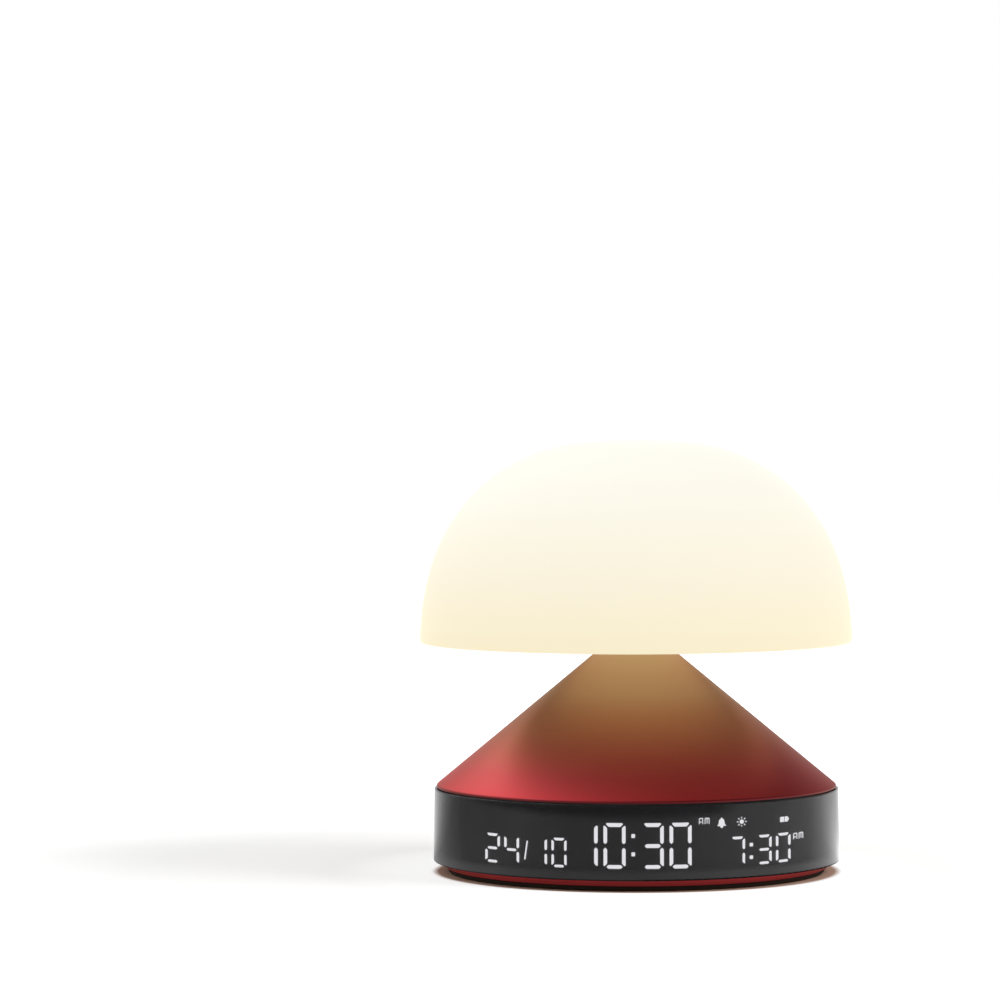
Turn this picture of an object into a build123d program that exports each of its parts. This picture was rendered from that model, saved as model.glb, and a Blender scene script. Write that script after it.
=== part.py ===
from build123d import *
import os
from math import asin, cos, degrees, hypot, pi, radians, sin, sqrt, tan

# Sunrise alarm clock, in millimetres.
# +Z is up, the origin is at the centre of the underside, and the display faces -Y.

# --- Shade ---
shade_radius = 60.2
shade_height = 56.25
shade_wall = 2.4
shade_crown_radius = 150.0
shade_shoulder_radius = 48.2
shade_flank_radius = 74.0
shade_rim_round = 0.9
shade_gap = 1.65  # from the cone's top up to the shade's rim
floor_recess = 1.6
floor_thickness = 2.0
floor_pad_radius = 16.0
floor_pad_height = 2.0
ledge_width = 1.6
ledge_height = 1.2
press_travel = 0.8

# --- Cone ---
cone_edge_inset = 0.65  # from the band's top edge in to the cone's
cone_top_radius = 9.9
cone_angle = 39.66  # rise of its side above the horizontal, in degrees
cone_brim_height = 0.1
cone_skirt_rise = 0.3  # of the skirt's low edge above the band
cone_wall = 1.6
cone_edge_round = 0.5
cone_head_depth = 5.0

# --- Display band ---
band_top_radius = 56.25
band_flare = 0.3
band_wall = 2.4
band_height = 20.3
band_top_round = 0.35
band_bottom_round = 0.5
band_seat_width = 1.4  # of the rebate that it rests on
band_seat_height = 0.8

# --- Base ring, foot and cover ---
base_ring_inset = 3.35  # from the band's lower edge
base_ring_taper = 0.2
base_ring_height = 1.7
base_ring_step = 1.0  # from the chassis wall in to the step that centres it
foot_inset = 0.8  # from the base ring's upper edge
foot_width = 6.4
foot_stand = 1.4  # how far the foot holds the base ring off the table
foot_seat_depth = 0.4
cover_clearance = 0.8  # from the foot in to the cover's edge
cover_ledge = 2.7
cover_thickness = 2.0
cover_rebate = 1.0

# --- Chassis ---
wall_thickness = 2.0
flange_thickness = 2.5
flange_width = 8.2
lip_inset = 0.9  # from the cone's edge
lip_thickness = 0.75
rim_thickness = 2.2
rim_width = 7.7
rim_tongue = 1.9
rim_tongue_thickness = 1.2
wall_gap = 0.2  # from the band in to the chassis

# --- Display ---
display_half_angle = 65.5
carrier_wall = 2.3
carrier_setback = 0.5  # from the chassis wall's face
segment_stand_out = 0.3
display_board_thickness = 1.0
display_led_size = 0.5
display_led_height = 0.4
ribbon_width = 10.0
ribbon_thickness = 0.3
ribbon_rise = 5.0
ribbon_reach = 11.0
ribbon_bend = 1.6
connector_depth = 3.2
connector_height = 1.6
connector_rim = 1.0
text_baseline = 6.1
large_height = 12.2
large_width = 5.9
large_stroke = 0.96
large_pitch = 7.45
small_height = 7.85
small_width = 4.05
small_stroke = 0.62
small_pitch = 5.3
segment_gap = 0.44  # left between neighbouring segments
date_margin = 5.3  # from the window's left end
month_place = 2.44  # of the date's second pair, in small pitches from its first digit
slash_place = 2.03
slash_rise = 1.6
slash_height = 5.0
slash_width = 0.35
slash_lean = 0.7
clock_left = -16.2
minutes_place = 2.37  # in large pitches from the first digit of the time
colon_lead = 0.5
colon_low = 3.9
colon_high = 8.8
colon_dot = 0.95
alarm_reach = 21.1  # from the window's right end back to the alarm time
alarm_minutes_place = 1.38
alarm_colon_low = 2.1
alarm_colon_high = 5.5
alarm_colon_dot = 0.86
sign_rise = 11.85  # of the signs' middles above the baseline
morning_place = 4.43
morning_rise = 12.5
alarm_morning_place = 3.3
alarm_morning_rise = 6.6
bell_place = 5.25
sun_place = 5.98
battery_sign_reach = 6.25
battery_sign_rise = 11.55
battery_sign_width = 2.1
battery_sign_height = 1.3
mark_height = 1.6
mark_width = 1.08
mark_stroke = 0.16
mark_gap = 0.26
sign_size = 2.7

# --- Boards ---
board_clearance = 0.8  # from the chassis in to the board's edge
board_thickness = 1.6
post_radius = 2.4
post_inset = 4.0  # from the board's edge
processor_size = 7.0
amplifier_size = 5.5
chip_height = 1.2
chip_inset = 15.0
memory_size = 3.2
coil_size = 4.0
coil_height = 3.0
coil_inset = 10.5
capacitor_radius = 2.5
capacitor_height = 6.0
capacitor_inset = 6.0
plug_size = 5.0
plug_height = 4.0
plug_y = 1.1

# --- Speaker ---
speaker_inset = 7.7  # from the cover's edge in to the speaker's
speaker_radius = 18.0
speaker_depth = 8.6
magnet_radius = 9.4
magnet_height = 4.5
speaker_flange = 2.8
speaker_rim_height = 1.4
speaker_board_lap = 3.0
speaker_collar = 1.0
speaker_collar_height = 2.8
speaker_skin = 1.0
paper_thickness = 0.4
throat_radius = 4.0
wire_radius = 0.4
gasket_thickness = 0.8
grille_hole_radius = 0.9
grille_pitch = 3.6

# --- Battery ---
battery_radius = 9.2
battery_length = 65.0
battery_y = -12.0
cradle_width = 21.0
cradle_floor = 1.2
contact_thickness = 0.6
contact_width = 8.0
contact_rise = 4.0
cradle_end = 2.0
cradle_end_width = 16.0
cradle_end_rise = 5.0
peg_radius = 1.4
peg_inset = 3.0
peg_depth = 2.2
cap_radius = 3.0
cap_height = 1.0
cell_base_radius = 8.0

# --- USB socket ---
usb_width = 8.94
usb_height = 3.26
usb_length = 7.9
usb_wall = 0.3
usb_recess = 1.4
usb_board_width = 15.0
usb_board_thickness = 1.2
usb_board_gap = 1.3  # from the main board
usb_slot_gap = 0.3
tongue_width = 6.6
tongue_thickness = 0.7
flex_width = 6.0
flex_thickness = 0.3
flex_overlap = 3.0
shelf_thickness = 1.2
shelf_margin = 1.5

# --- Setting buttons ---
button_radius = 4.2
button_inset = 15.2  # from the cover's edge in to a button's axis
button_spacing = 32.0  # degrees round the button circle
button_proud = 0.8
button_flange = 1.0
button_travel = 0.4
switch_size = 6.0
switch_height = 3.5
plunger_radius = 1.7
button_lip = 1.0  # how far its flange reaches past the cap
button_edge = 0.3
sign_depth = 0.25
plunger_dip = 1.2  # how deep a plunger stands in its switch at rest
plunger_room = 0.3  # left below a plunger that is fully pressed
button_stop_gap = 0.3  # left above a flange that is fully pressed

# --- Press mechanism ---
stem_radius = 5.0
stem_bore = 3.0
bush_radius = 7.0
bush_length = 10.0
bush_flange_radius = 9.0
bush_flange = 0.8
clip_thickness = 0.8
clip_groove = 0.4
foot_disc_radius = 12.5
foot_disc_thickness = 2.0
plate_top = 36.0
plate_thickness = 2.0
plate_radius = 29.0
plate_circle = 25.0
spring_height = 6.0
spring_radius = 5.5
spring_wire = 0.7
spring_turns = 4
snooze_x = 10.4
switch_board_thickness = 1.0
switch_board_margin = 9.0
cable_radius = 1.2
cable_rise = 4.0  # above the main board, where the cable begins

# --- Lamp ---
hub_radius = 15.0
hub_flange = 2.4
hub_boss_radius = 7.9
hub_landing_gap = 1.2  # left between the pressed hub and its bush
lamp_circle = 11.0
lamp_post_height = 2.6
led_count = 16
led_inner_count = 6
spreader_radius = 26.0
spreader_thickness = 2.0
led_board_thickness = 1.6
led_size = 3.0
led_height = 0.7
led_circle = 20.0
led_inner_circle = 5.5

# --- Screws ---
screw_radius = 1.25
screw_head_radius = 2.2
screw_head_height = 1.4
flat_head_height = 0.8
small_screw_radius = 0.8
small_head_radius = 1.5
screw_bite = 4.0  # how far a screw reaches into its post
plate_screw_length = 6.5
cone_screw_bite = 3.2
blind_floor = 0.6  # left under a screw hole
tip_gap = 0.2  # from a screw's tip to the hole's end
boss_wall = 1.65
small_screw_bite = 1.1
small_head_height = 0.9

# --- Clearances ---
fit_gap = 0.1  # round a piece that sits in a recess
slide_gap = 0.05  # round a piece that slides
screw_gap = 0.02  # round a screw's thread
pass_gap = 0.25  # round a screw that passes through

# --- Radii, from the band in ---
band_bottom_radius = band_top_radius + band_flare
band_inner_radius = band_top_radius - band_wall
cone_edge_radius = band_top_radius - cone_edge_inset
lip_radius = cone_edge_radius - lip_inset
base_ring_radius = band_bottom_radius - base_ring_inset
foot_radius = base_ring_radius - foot_inset
cover_radius = foot_radius - foot_width - cover_clearance
base_ring_inner_radius = cover_radius - cover_ledge
wall_outer = band_inner_radius - wall_gap
wall_inner = wall_outer - wall_thickness
step_radius = wall_outer - base_ring_step
band_seat_radius = band_inner_radius + band_seat_width
flange_inner_radius = wall_outer - flange_width
rim_inner_radius = wall_outer - rim_width
carrier_outer = wall_outer - carrier_setback
carrier_inner = carrier_outer - carrier_wall
board_radius = rim_inner_radius - rim_tongue - board_clearance
post_circle = board_radius - post_inset
button_circle = cover_radius - button_inset
speaker_y = cover_radius - speaker_inset - speaker_radius
window_half_width = carrier_inner * sin(radians(display_half_angle))
date_left = date_margin - window_half_width
alarm_left = window_half_width - alarm_reach
battery_sign_x = window_half_width - battery_sign_reach

# --- Levels, from the table up ---
ring_low = foot_stand
ring_top = ring_low + base_ring_height
cover_low = ring_top - cover_rebate
cover_top = cover_low + cover_thickness
band_low = ring_top
band_top = band_low + band_height
band_seat = band_low + band_seat_height
chassis_top = band_top + lip_thickness
flange_low = chassis_top - flange_thickness
rim_top = ring_top + rim_thickness
board_low = cover_top + fit_gap + button_flange + button_travel + button_stop_gap + switch_height
board_top = board_low + board_thickness
skirt_low = band_top + cone_skirt_rise
cone_corner = chassis_top + cone_brim_height
cone_slope = tan(radians(cone_angle))
cone_top = cone_corner + (cone_edge_radius - cone_top_radius) * cone_slope
shade_low = cone_top + shade_gap
shade_top = shade_low + shade_height
floor_low = shade_low + floor_recess
floor_top = floor_low + floor_thickness
hub_low = cone_top + bush_flange + press_travel + hub_landing_gap
pad_top = floor_top + floor_pad_height
hub_top = pad_top + hub_flange
spreader_low = hub_top + lamp_post_height
led_board_low = spreader_low + spreader_thickness
led_board_top = led_board_low + led_board_thickness
stem_low = plate_top + spring_height
usb_axis = board_top + usb_height / 2

UPRIGHT = (Align.CENTER, Align.CENTER, Align.MIN)
FRONT = -90.0


# --- Shapes used throughout ---
def disc(radius, low, high, x=0.0, y=0.0):
    return Pos(x, y, low) * Cylinder(radius, high - low, align=UPRIGHT)


def ring(inner, outer, low, high, x=0.0, y=0.0):
    hole = disc(inner, low - 1, high + 1, x, y)
    return disc(outer, low, high, x, y) - hole


def block(x_low, x_high, y_low, y_high, low, high):
    middle = Pos((x_low + x_high) / 2, (y_low + y_high) / 2, low)
    return middle * Box(x_high - x_low, y_high - y_low, high - low, align=UPRIGHT)


def section(points):
    """Closed outline of (radius, height) points in the XZ plane."""
    corners = [(radius, 0, height) for radius, height in points]
    return make_face(Polyline(*corners, close=True))


def turned(points):
    return revolve(section(points), Axis.Z)


def sector(points, half_angle, middle):
    """A section turned through a part of the circle, centred on one direction."""
    part = revolve(section(points), Axis.Z, 2 * half_angle)
    return Rot(0, 0, middle - half_angle) * part


def on_circle(count, radius, first=0.0):
    angles = [radians(first + 360 * step / count) for step in range(count)]
    return [(radius * cos(angle), radius * sin(angle)) for angle in angles]


def group(solids):
    return Compound(children=list(solids))


def screw(x, y, seat, length, up=True, shank=screw_radius, head=screw_head_radius,
          head_height=screw_head_height):
    """A screw whose head sits at one height, with its shank pointing up or down."""
    body = disc(shank, 0, length) + disc(head, -head_height, 0)
    slot_depth = head_height / 2
    for width, depth in ((head * 1.2, head * 0.3), (head * 0.3, head * 1.2)):
        body -= Pos(0, 0, -head_height) * Box(width, depth, 2 * slot_depth)
    if not up:
        body = Rot(180, 0, 0) * body
    return Pos(x, y, seat) * body


# --- Shade, which is pressed down as one body ---
def arc_between(centre, radius, start, end):
    """Arc in the XZ plane between two directions, in radians."""
    middle = (start + end) / 2
    spots = [(centre[0] + radius * cos(turn), 0, centre[1] + radius * sin(turn))
             for turn in (start, middle, end)]
    return ThreePointArc(*spots)


def direction(start, end):
    return Vector(end[0] - start[0], 0, end[1] - start[1])


def turn_of(start, end):
    from_x = Vector(1, 0, 0)
    angle = radians(from_x.get_angle(direction(start, end)))
    return angle if end[1] >= start[1] else -angle


def shade_arcs():
    """Centres and radii of the flank, shoulder and crown, each tangent to the next."""
    crown = (0.0, shade_top - shade_crown_radius)
    flank = (shade_radius - shade_flank_radius, shade_low)
    reach_crown = shade_crown_radius - shade_shoulder_radius
    reach_flank = shade_flank_radius - shade_shoulder_radius
    span = hypot(flank[0] - crown[0], flank[1] - crown[1])
    along = (reach_crown ** 2 - reach_flank ** 2 + span ** 2) / (2 * span)
    aside = sqrt(reach_crown ** 2 - along ** 2)
    unit = ((flank[0] - crown[0]) / span, (flank[1] - crown[1]) / span)
    shoulder = (crown[0] + along * unit[0] + aside * unit[1],
                crown[1] + along * unit[1] - aside * unit[0])
    return flank, shoulder, crown


def shade_outline(inset):
    """The three arcs of the shade, from its rim to its crown, moved in by the inset."""
    flank, shoulder, crown = shade_arcs()
    leave_flank = turn_of(flank, shoulder)
    leave_shoulder = turn_of(crown, shoulder)
    return [
        arc_between(flank, shade_flank_radius - inset, 0.0, leave_flank),
        arc_between(shoulder, shade_shoulder_radius - inset, leave_flank, leave_shoulder),
        arc_between(crown, shade_crown_radius - inset, leave_shoulder, pi / 2),
    ]


def make_dome_shade():
    outer = shade_outline(0.0)
    inner = shade_outline(shade_wall)
    rim = Line((shade_radius, 0, shade_low), (shade_radius - shade_wall, 0, shade_low))
    centre = Line((0, 0, shade_top - shade_wall), (0, 0, shade_top))
    shell = revolve(make_face(outer + inner + [rim, centre]), Axis.Z)
    rim_edges = shell.edges().filter_by(GeomType.CIRCLE).filter_by(
        lambda edge: abs(edge.center().Z - shade_low) < 0.01)
    shell = fillet(rim_edges, shade_rim_round)
    inner_radius = shade_radius - shade_wall
    ledge = turned([
        (inner_radius - ledge_width, floor_top),
        (inner_radius + shade_wall / 2, floor_top),
        (inner_radius + shade_wall / 2, floor_top + ledge_height),
        (inner_radius - ledge_width, floor_top + ledge_height),
    ])
    return shell + ledge


def floor_edge_radius():
    """The shade's inner radius at the top of its floor."""
    drop = floor_top - shade_low
    inner_flank = shade_flank_radius - shade_wall
    return sqrt(inner_flank ** 2 - drop ** 2) + shade_radius - shade_flank_radius


def make_dome_floor():
    plate = disc(floor_edge_radius() - fit_gap, floor_low, floor_top)
    plate += disc(floor_pad_radius, floor_top, pad_top)
    plate -= disc(hub_boss_radius + fit_gap, floor_low - 1, pad_top + 1)
    for x, y in on_circle(3, lamp_circle, 60):
        plate -= disc(screw_radius + screw_gap, floor_low + blind_floor, pad_top + 1, x, y)
    return plate


def make_shade_hub():
    hub = disc(hub_radius, pad_top, hub_top)
    hub += disc(hub_boss_radius, hub_low, pad_top)
    for x, y in on_circle(3, lamp_circle):
        hub += disc(post_radius, hub_top, spreader_low, x, y)
        hub -= disc(screw_radius + screw_gap, pad_top + blind_floor, spreader_low + 1, x, y)
    for x, y in on_circle(3, lamp_circle, 60):
        hub -= disc(screw_radius + pass_gap, pad_top - 1, hub_top + 1, x, y)
    return hub - disc(stem_radius + screw_gap, hub_low - 1, hub_top + 1)


def make_floor_screws():
    length = hub_top - floor_low - blind_floor - tip_gap
    return group(screw(x, y, hub_top, length, up=False) for x, y in on_circle(3, lamp_circle, 60))


def make_heat_spreader():
    plate = disc(spreader_radius, spreader_low, led_board_low)
    plate -= disc(stem_bore, spreader_low - 1, led_board_low + 1)
    for x, y in on_circle(3, lamp_circle):
        plate -= disc(screw_radius + pass_gap, spreader_low - 1, led_board_low + 1, x, y)
    return plate


def make_led_board():
    board = disc(spreader_radius - 1, led_board_low, led_board_top)
    for x, y in on_circle(3, lamp_circle):
        board -= disc(screw_radius + pass_gap, led_board_low - 1, led_board_top + 1, x, y)
    return board


def make_leds():
    spots = on_circle(led_count, led_circle) + on_circle(led_inner_count, led_inner_circle)
    half = led_size / 2
    return group(block(x - half, x + half, y - half, y + half, led_board_top, led_board_top + led_height)
                 for x, y in spots)


def make_led_screws():
    length = led_board_top - pad_top - blind_floor - tip_gap
    return group(screw(x, y, led_board_top, length, up=False) for x, y in on_circle(3, lamp_circle))


def clip_levels():
    top = cone_top - bush_length - slide_gap
    return top - clip_thickness, top


def make_press_stem():
    stem = ring(stem_bore, stem_radius, stem_low, spreader_low)
    clip_low, clip_high = clip_levels()
    return stem - ring(stem_radius - clip_groove, stem_radius + 1, clip_low, clip_high)


def make_stop_clip():
    """A C-shaped clip in the stem's groove, which stops the shade's rise at the bush."""
    clip_low, clip_high = clip_levels()
    clip = ring(stem_radius - clip_groove, bush_radius, clip_low, clip_high)
    mouth = stem_radius * 0.8
    return clip - block(-mouth, mouth, -bush_radius - 1, 0, clip_low - 1, clip_high + 1)


def make_stem_foot():
    return ring(stem_radius + screw_gap, foot_disc_radius, stem_low, stem_low + foot_disc_thickness)


def make_snooze_plunger():
    low = plate_top + switch_board_thickness + switch_height - plunger_dip
    return disc(plunger_radius, low, stem_low, snooze_x)


# --- What guides and answers the pressed shade ---
def make_guide_bush():
    bush = disc(bush_radius, cone_top - bush_length, cone_top)
    bush += disc(bush_flange_radius, cone_top, cone_top + bush_flange)
    return bush - disc(stem_radius + slide_gap, cone_top - bush_length - 1, cone_top + bush_flange + 1)


def make_return_spring():
    rise = spring_height - spring_wire
    coil = Helix(rise / spring_turns, rise, spring_radius)
    start = Plane(origin=coil @ 0, z_dir=coil % 0)
    wire = sweep(start * Circle(spring_wire / 2), path=coil)
    return Pos(0, 0, plate_top + spring_wire / 2) * wire


def make_inner_plate():
    plate = ring(cable_radius + 0.8, plate_radius, plate_top - plate_thickness, plate_top)
    for x, y in plate_screw_spots():
        plate -= disc(screw_radius + pass_gap, plate_top - 9, plate_top + 1, x, y)
    return plate


def plate_screw_spots():
    return on_circle(3, plate_circle, 30)


def make_plate_screws():
    seat = plate_top - plate_thickness
    return group(screw(x, y, seat, plate_screw_length) for x, y in plate_screw_spots())


def make_switch_board():
    inner_edge = spring_radius + spring_wire
    top = plate_top + switch_board_thickness
    return block(inner_edge, snooze_x + switch_board_margin, -switch_size, switch_size, plate_top, top)


def switch_body(x, y, low, travel, plunger_up):
    """A square switch housing with a round well for its plunger."""
    half = switch_size / 2
    body = block(x - half, x + half, y - half, y + half, low, low + switch_height)
    well_depth = plunger_dip + travel + plunger_room
    well_radius = plunger_radius + slide_gap
    if plunger_up:
        high = low + switch_height
        return body - disc(well_radius, high - well_depth, high + 1, x, y)
    return body - disc(well_radius, low - 1, low + well_depth, x, y)


def make_snooze_switch():
    return switch_body(snooze_x, 0, plate_top + switch_board_thickness, press_travel, True)


def make_led_cable():
    return disc(cable_radius, board_top + cable_rise, led_board_low - 0.3)


# --- Cone ---
def cone_outline():
    """The cone's side as (radius, height), from its edge up to its top."""
    return [(cone_edge_radius, skirt_low), (cone_edge_radius, cone_corner), (cone_top_radius, cone_top)]


def make_cone_body():
    inset = cone_wall / sin(radians(cone_angle))
    head_low = cone_top - cone_head_depth
    head_radius = cone_top_radius + cone_head_depth / cone_slope - inset
    edge_inner = cone_edge_radius - cone_wall
    brim_inner = cone_corner + (cone_edge_radius - inset - edge_inner) * cone_slope
    bore = bush_radius + slide_gap
    skirt_inner = lip_radius + fit_gap
    shell = turned(cone_outline() + [
        (bore, cone_top),
        (bore, head_low),
        (head_radius, head_low),
        (edge_inner, max(brim_inner, chassis_top + 0.05)),
        (edge_inner, chassis_top),
        (skirt_inner, chassis_top),
        (skirt_inner, skirt_low),
    ])
    corner = shell.edges().filter_by(GeomType.CIRCLE).filter_by(
        lambda edge: abs(edge.center().Z - cone_corner) < 0.01 and edge.radius > edge_inner + 0.5)
    shell = fillet(corner, cone_edge_round)
    half_wall = inset / 2
    filled = turned([
        (0, chassis_top),
        (cone_edge_radius - half_wall, chassis_top),
        (cone_edge_radius - half_wall, cone_corner),
        (cone_top_radius - half_wall, cone_top),
        (0, cone_top),
    ])
    bosses = [disc(screw_radius + boss_wall, plate_top, cone_top, x, y) for x, y in plate_screw_spots()]
    bosses += [disc(post_radius, chassis_top, cone_top, x, y) for x, y in cone_screw_spots()]
    for boss in bosses:
        shell += boss & filled
    for x, y in plate_screw_spots():
        shell -= disc(screw_radius + screw_gap, plate_top - 1, plate_top + plate_screw_length, x, y)
    hole_end = chassis_top + cone_screw_bite + tip_gap
    for x, y in cone_screw_spots():
        shell -= disc(screw_radius + screw_gap, chassis_top - 1, hole_end, x, y)
    return shell


def cone_screw_spots():
    return on_circle(4, flange_inner_radius + post_radius + 0.4, 45)


def make_cone_screws():
    length = flange_thickness + cone_screw_bite
    return group(screw(x, y, flange_low, length) for x, y in cone_screw_spots())


# --- Base ---
def make_display_band():
    rebate = band_seat_radius + fit_gap
    band = turned([
        (rebate, band_low),
        (band_bottom_radius, band_low),
        (band_top_radius, band_top),
        (band_inner_radius, band_top),
        (band_inner_radius, band_seat),
        (rebate, band_seat),
    ])
    low_edge = band.edges().filter_by(GeomType.CIRCLE).filter_by(
        lambda edge: abs(edge.center().Z - band_low) < 0.01 and edge.radius > rebate + fit_gap)
    band = fillet(low_edge, band_bottom_round)
    high_edge = band.edges().filter_by(GeomType.CIRCLE).filter_by(
        lambda edge: abs(edge.center().Z - band_top) < 0.01 and edge.radius > band_inner_radius + 1)
    band = fillet(high_edge, band_top_round)
    return band - usb_slot(usb_width + 2 * usb_slot_gap, usb_height + 2 * usb_slot_gap)


def usb_slot(width, height):
    """A rounded slot through the back wall, in line with the socket."""
    outline = Plane((0, 0, usb_axis), x_dir=(-1, 0, 0), z_dir=(0, 1, 0)) * RectangleRounded(
        width, height, height / 2 - 0.05)
    return extrude(outline, band_bottom_radius + 2) - block(-width, width, -1, board_radius, 0, cone_top)


def make_base_ring():
    side_low = base_ring_radius - base_ring_taper
    groove_top = ring_low + foot_seat_depth
    plate = turned([
        (base_ring_inner_radius, ring_low),
        (foot_radius - foot_width, ring_low),
        (foot_radius - foot_width, groove_top),
        (foot_radius, groove_top),
        (foot_radius, ring_low),
        (side_low, ring_low),
        (base_ring_radius, ring_top),
        (band_seat_radius, ring_top),
        (band_seat_radius, band_seat),
        (step_radius, band_seat),
        (step_radius, ring_top),
        (cover_radius + fit_gap, ring_top),
        (cover_radius + fit_gap, cover_low),
        (base_ring_inner_radius, cover_low),
    ])
    for x, y in base_screw_spots():
        plate -= disc(screw_radius + pass_gap, ring_low, ring_top + 1, x, y)
        plate -= disc(screw_head_radius + fit_gap, ring_low, groove_top + flat_head_height, x, y)
    return plate


def base_screw_spots():
    return on_circle(6, foot_radius - foot_width / 2, 30)


def make_base_screws():
    seat = ring_low + foot_seat_depth + flat_head_height
    length = rim_top - seat - blind_floor - tip_gap
    return group(screw(x, y, seat, length, head_height=flat_head_height) for x, y in base_screw_spots())


def make_foot_ring():
    high = ring_low + foot_seat_depth
    pad = ring(foot_radius - foot_width + fit_gap, foot_radius - fit_gap, 0, high)
    low_edges = pad.edges().filter_by(GeomType.CIRCLE).filter_by(lambda edge: edge.center().Z < 0.01)
    return chamfer(low_edges, 0.2)


def button_spots():
    """Places of the setting buttons, round the front half of the underside."""
    angles = [radians(FRONT + button_spacing * step) for step in (-2, -1, 0, 1, 2)]
    return [(button_circle * cos(angle), button_circle * sin(angle)) for angle in angles]


def board_posts():
    angles = [radians(turn) for turn in (FRONT - 38, FRONT + 38, 20, 160)]
    return [(post_circle * cos(angle), post_circle * sin(angle)) for angle in angles]


def grille_spots():
    spots = [(0.0, speaker_y)]
    for row in (1, 2, 3):
        spots += [(x, y + speaker_y) for x, y in on_circle(6 * row, row * grille_pitch)]
    return spots


def make_bottom_cover():
    cover = disc(cover_radius, cover_low, cover_top)
    collar = speaker_radius + 1.5 * fit_gap
    cover += ring(collar, collar + speaker_collar, cover_top, cover_top + speaker_collar_height, 0, speaker_y)
    for x, y in board_posts():
        cover += disc(post_radius, cover_top, board_low, x, y)
    for x, y in board_posts():
        cover -= disc(screw_radius + screw_gap, cover_top, board_low + 1, x, y)
    for x, y in grille_spots():
        cover -= disc(grille_hole_radius, cover_low - 1, cover_top + 1, x, y)
    for x, y in button_spots():
        cover -= disc(button_radius + slide_gap, cover_low - 1, cover_top + 1, x, y)
    return cover


def make_chassis():
    window = display_half_angle + 0.2
    frame = turned([
        (rim_inner_radius, ring_top),
        (step_radius - fit_gap, ring_top),
        (step_radius - fit_gap, band_seat),
        (wall_outer, band_seat),
        (wall_outer, rim_top),
        (rim_inner_radius - rim_tongue, rim_top),
        (rim_inner_radius - rim_tongue, rim_top - rim_tongue_thickness),
        (rim_inner_radius, rim_top - rim_tongue_thickness),
    ])
    frame += sector([
        (wall_inner, rim_top - 0.5),
        (wall_outer, rim_top - 0.5),
        (wall_outer, flange_low + 0.5),
        (wall_inner, flange_low + 0.5),
    ], 180 - window, FRONT + 180)
    frame += turned([
        (flange_inner_radius, flange_low),
        (wall_outer, flange_low),
        (wall_outer, band_top),
        (lip_radius, band_top),
        (lip_radius, chassis_top),
        (flange_inner_radius, chassis_top),
    ])
    shelf_top = board_top - usb_board_thickness
    half = usb_board_width / 2 + shelf_margin
    shelf_low = shelf_top - shelf_thickness
    frame += block(-half, half, board_radius + usb_board_gap, wall_inner + 0.5, shelf_low, shelf_top)
    passage = usb_board_width / 2 + 2 * fit_gap
    frame -= block(-passage, passage, wall_inner - 3, band_inner_radius + 1, shelf_top, usb_axis + usb_height)
    for x, y in cone_screw_spots():
        frame -= disc(screw_radius + pass_gap, flange_low - 1, chassis_top + 1, x, y)
    for x, y in base_screw_spots():
        frame -= disc(screw_radius + screw_gap, ring_top - 1, rim_top - blind_floor, x, y)
    for x, y in usb_screw_spots():
        frame -= disc(small_screw_radius + screw_gap, shelf_top - 2, shelf_top + 1, x, y)
    return frame


# --- Display, laid out flat in X and Z and then cut into the curved wall ---
def mitred_end(stroke):
    """Points of a segment's end at a corner of its digit, as (distance along, depth)."""
    blunt = 0.3 * stroke
    return [(segment_gap + 1.5 * blunt, 0), (segment_gap + blunt, blunt), (segment_gap + stroke, stroke)]


def pointed_end(stroke, setback):
    start = segment_gap + setback * stroke
    return [(start + stroke / 2, 0), (start, stroke / 2), (start + stroke / 2, stroke)]


def segment(corner, along, inward, length, near_end, far_end):
    """Outline of one segment, from a corner of its cell along one side of it."""
    shape = near_end + [(length - u, v) for u, v in reversed(far_end)]
    return [(corner[0] + u * along[0] + v * inward[0], corner[1] + u * along[1] + v * inward[1])
            for u, v in shape]


def digit_outlines(digit, left, width, height, stroke):
    """The lit segments of one digit, as lists of (x, z) points."""
    right = left + width
    low = text_baseline
    high = low + height
    middle = (low + high) / 2
    tall = height / 2
    mitre = mitred_end(stroke)
    tip = pointed_end(stroke, 0.1)
    nose = pointed_end(stroke, 0.42)
    shapes = {
        "a": segment((left, high), (1, 0), (0, -1), width, mitre, mitre),
        "b": segment((right, high), (0, -1), (-1, 0), tall, mitre, tip),
        "c": segment((right, low), (0, 1), (-1, 0), tall, mitre, tip),
        "d": segment((left, low), (1, 0), (0, 1), width, nose, nose),
        "e": segment((left, low), (0, 1), (1, 0), tall, mitre, tip),
        "f": segment((left, high), (0, -1), (1, 0), tall, mitre, tip),
        "g": segment((left, middle - stroke / 2), (1, 0), (0, 1), width, nose, nose),
    }
    lit = {"0": "abcdef", "1": "bc", "2": "abged", "3": "abgcd", "4": "fgbc", "7": "abc"}
    return [shapes[name] for name in lit[digit]]


def box_outline(x, z, width, height):
    return [(x - width / 2, z - height / 2), (x + width / 2, z - height / 2),
            (x + width / 2, z + height / 2), (x - width / 2, z + height / 2)]


def small_digits(digits, left):
    outlines = []
    for place, digit in enumerate(digits):
        outlines += digit_outlines(digit, left + place * small_pitch, small_width, small_height, small_stroke)
    return outlines


def large_digits(digits, left):
    outlines = []
    for place, digit in enumerate(digits):
        outlines += digit_outlines(digit, left + place * large_pitch, large_width, large_height, large_stroke)
    return outlines


def slash_outline(left, low):
    return [(left, low), (left + slash_width, low), (left + slash_width + slash_lean, low + slash_height),
            (left + slash_lean, low + slash_height)]


def colon_outlines(x, low, high, size):
    """Two square dots, at heights above the baseline."""
    return [box_outline(x, text_baseline + rise, size, size) for rise in (low, high)]


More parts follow.
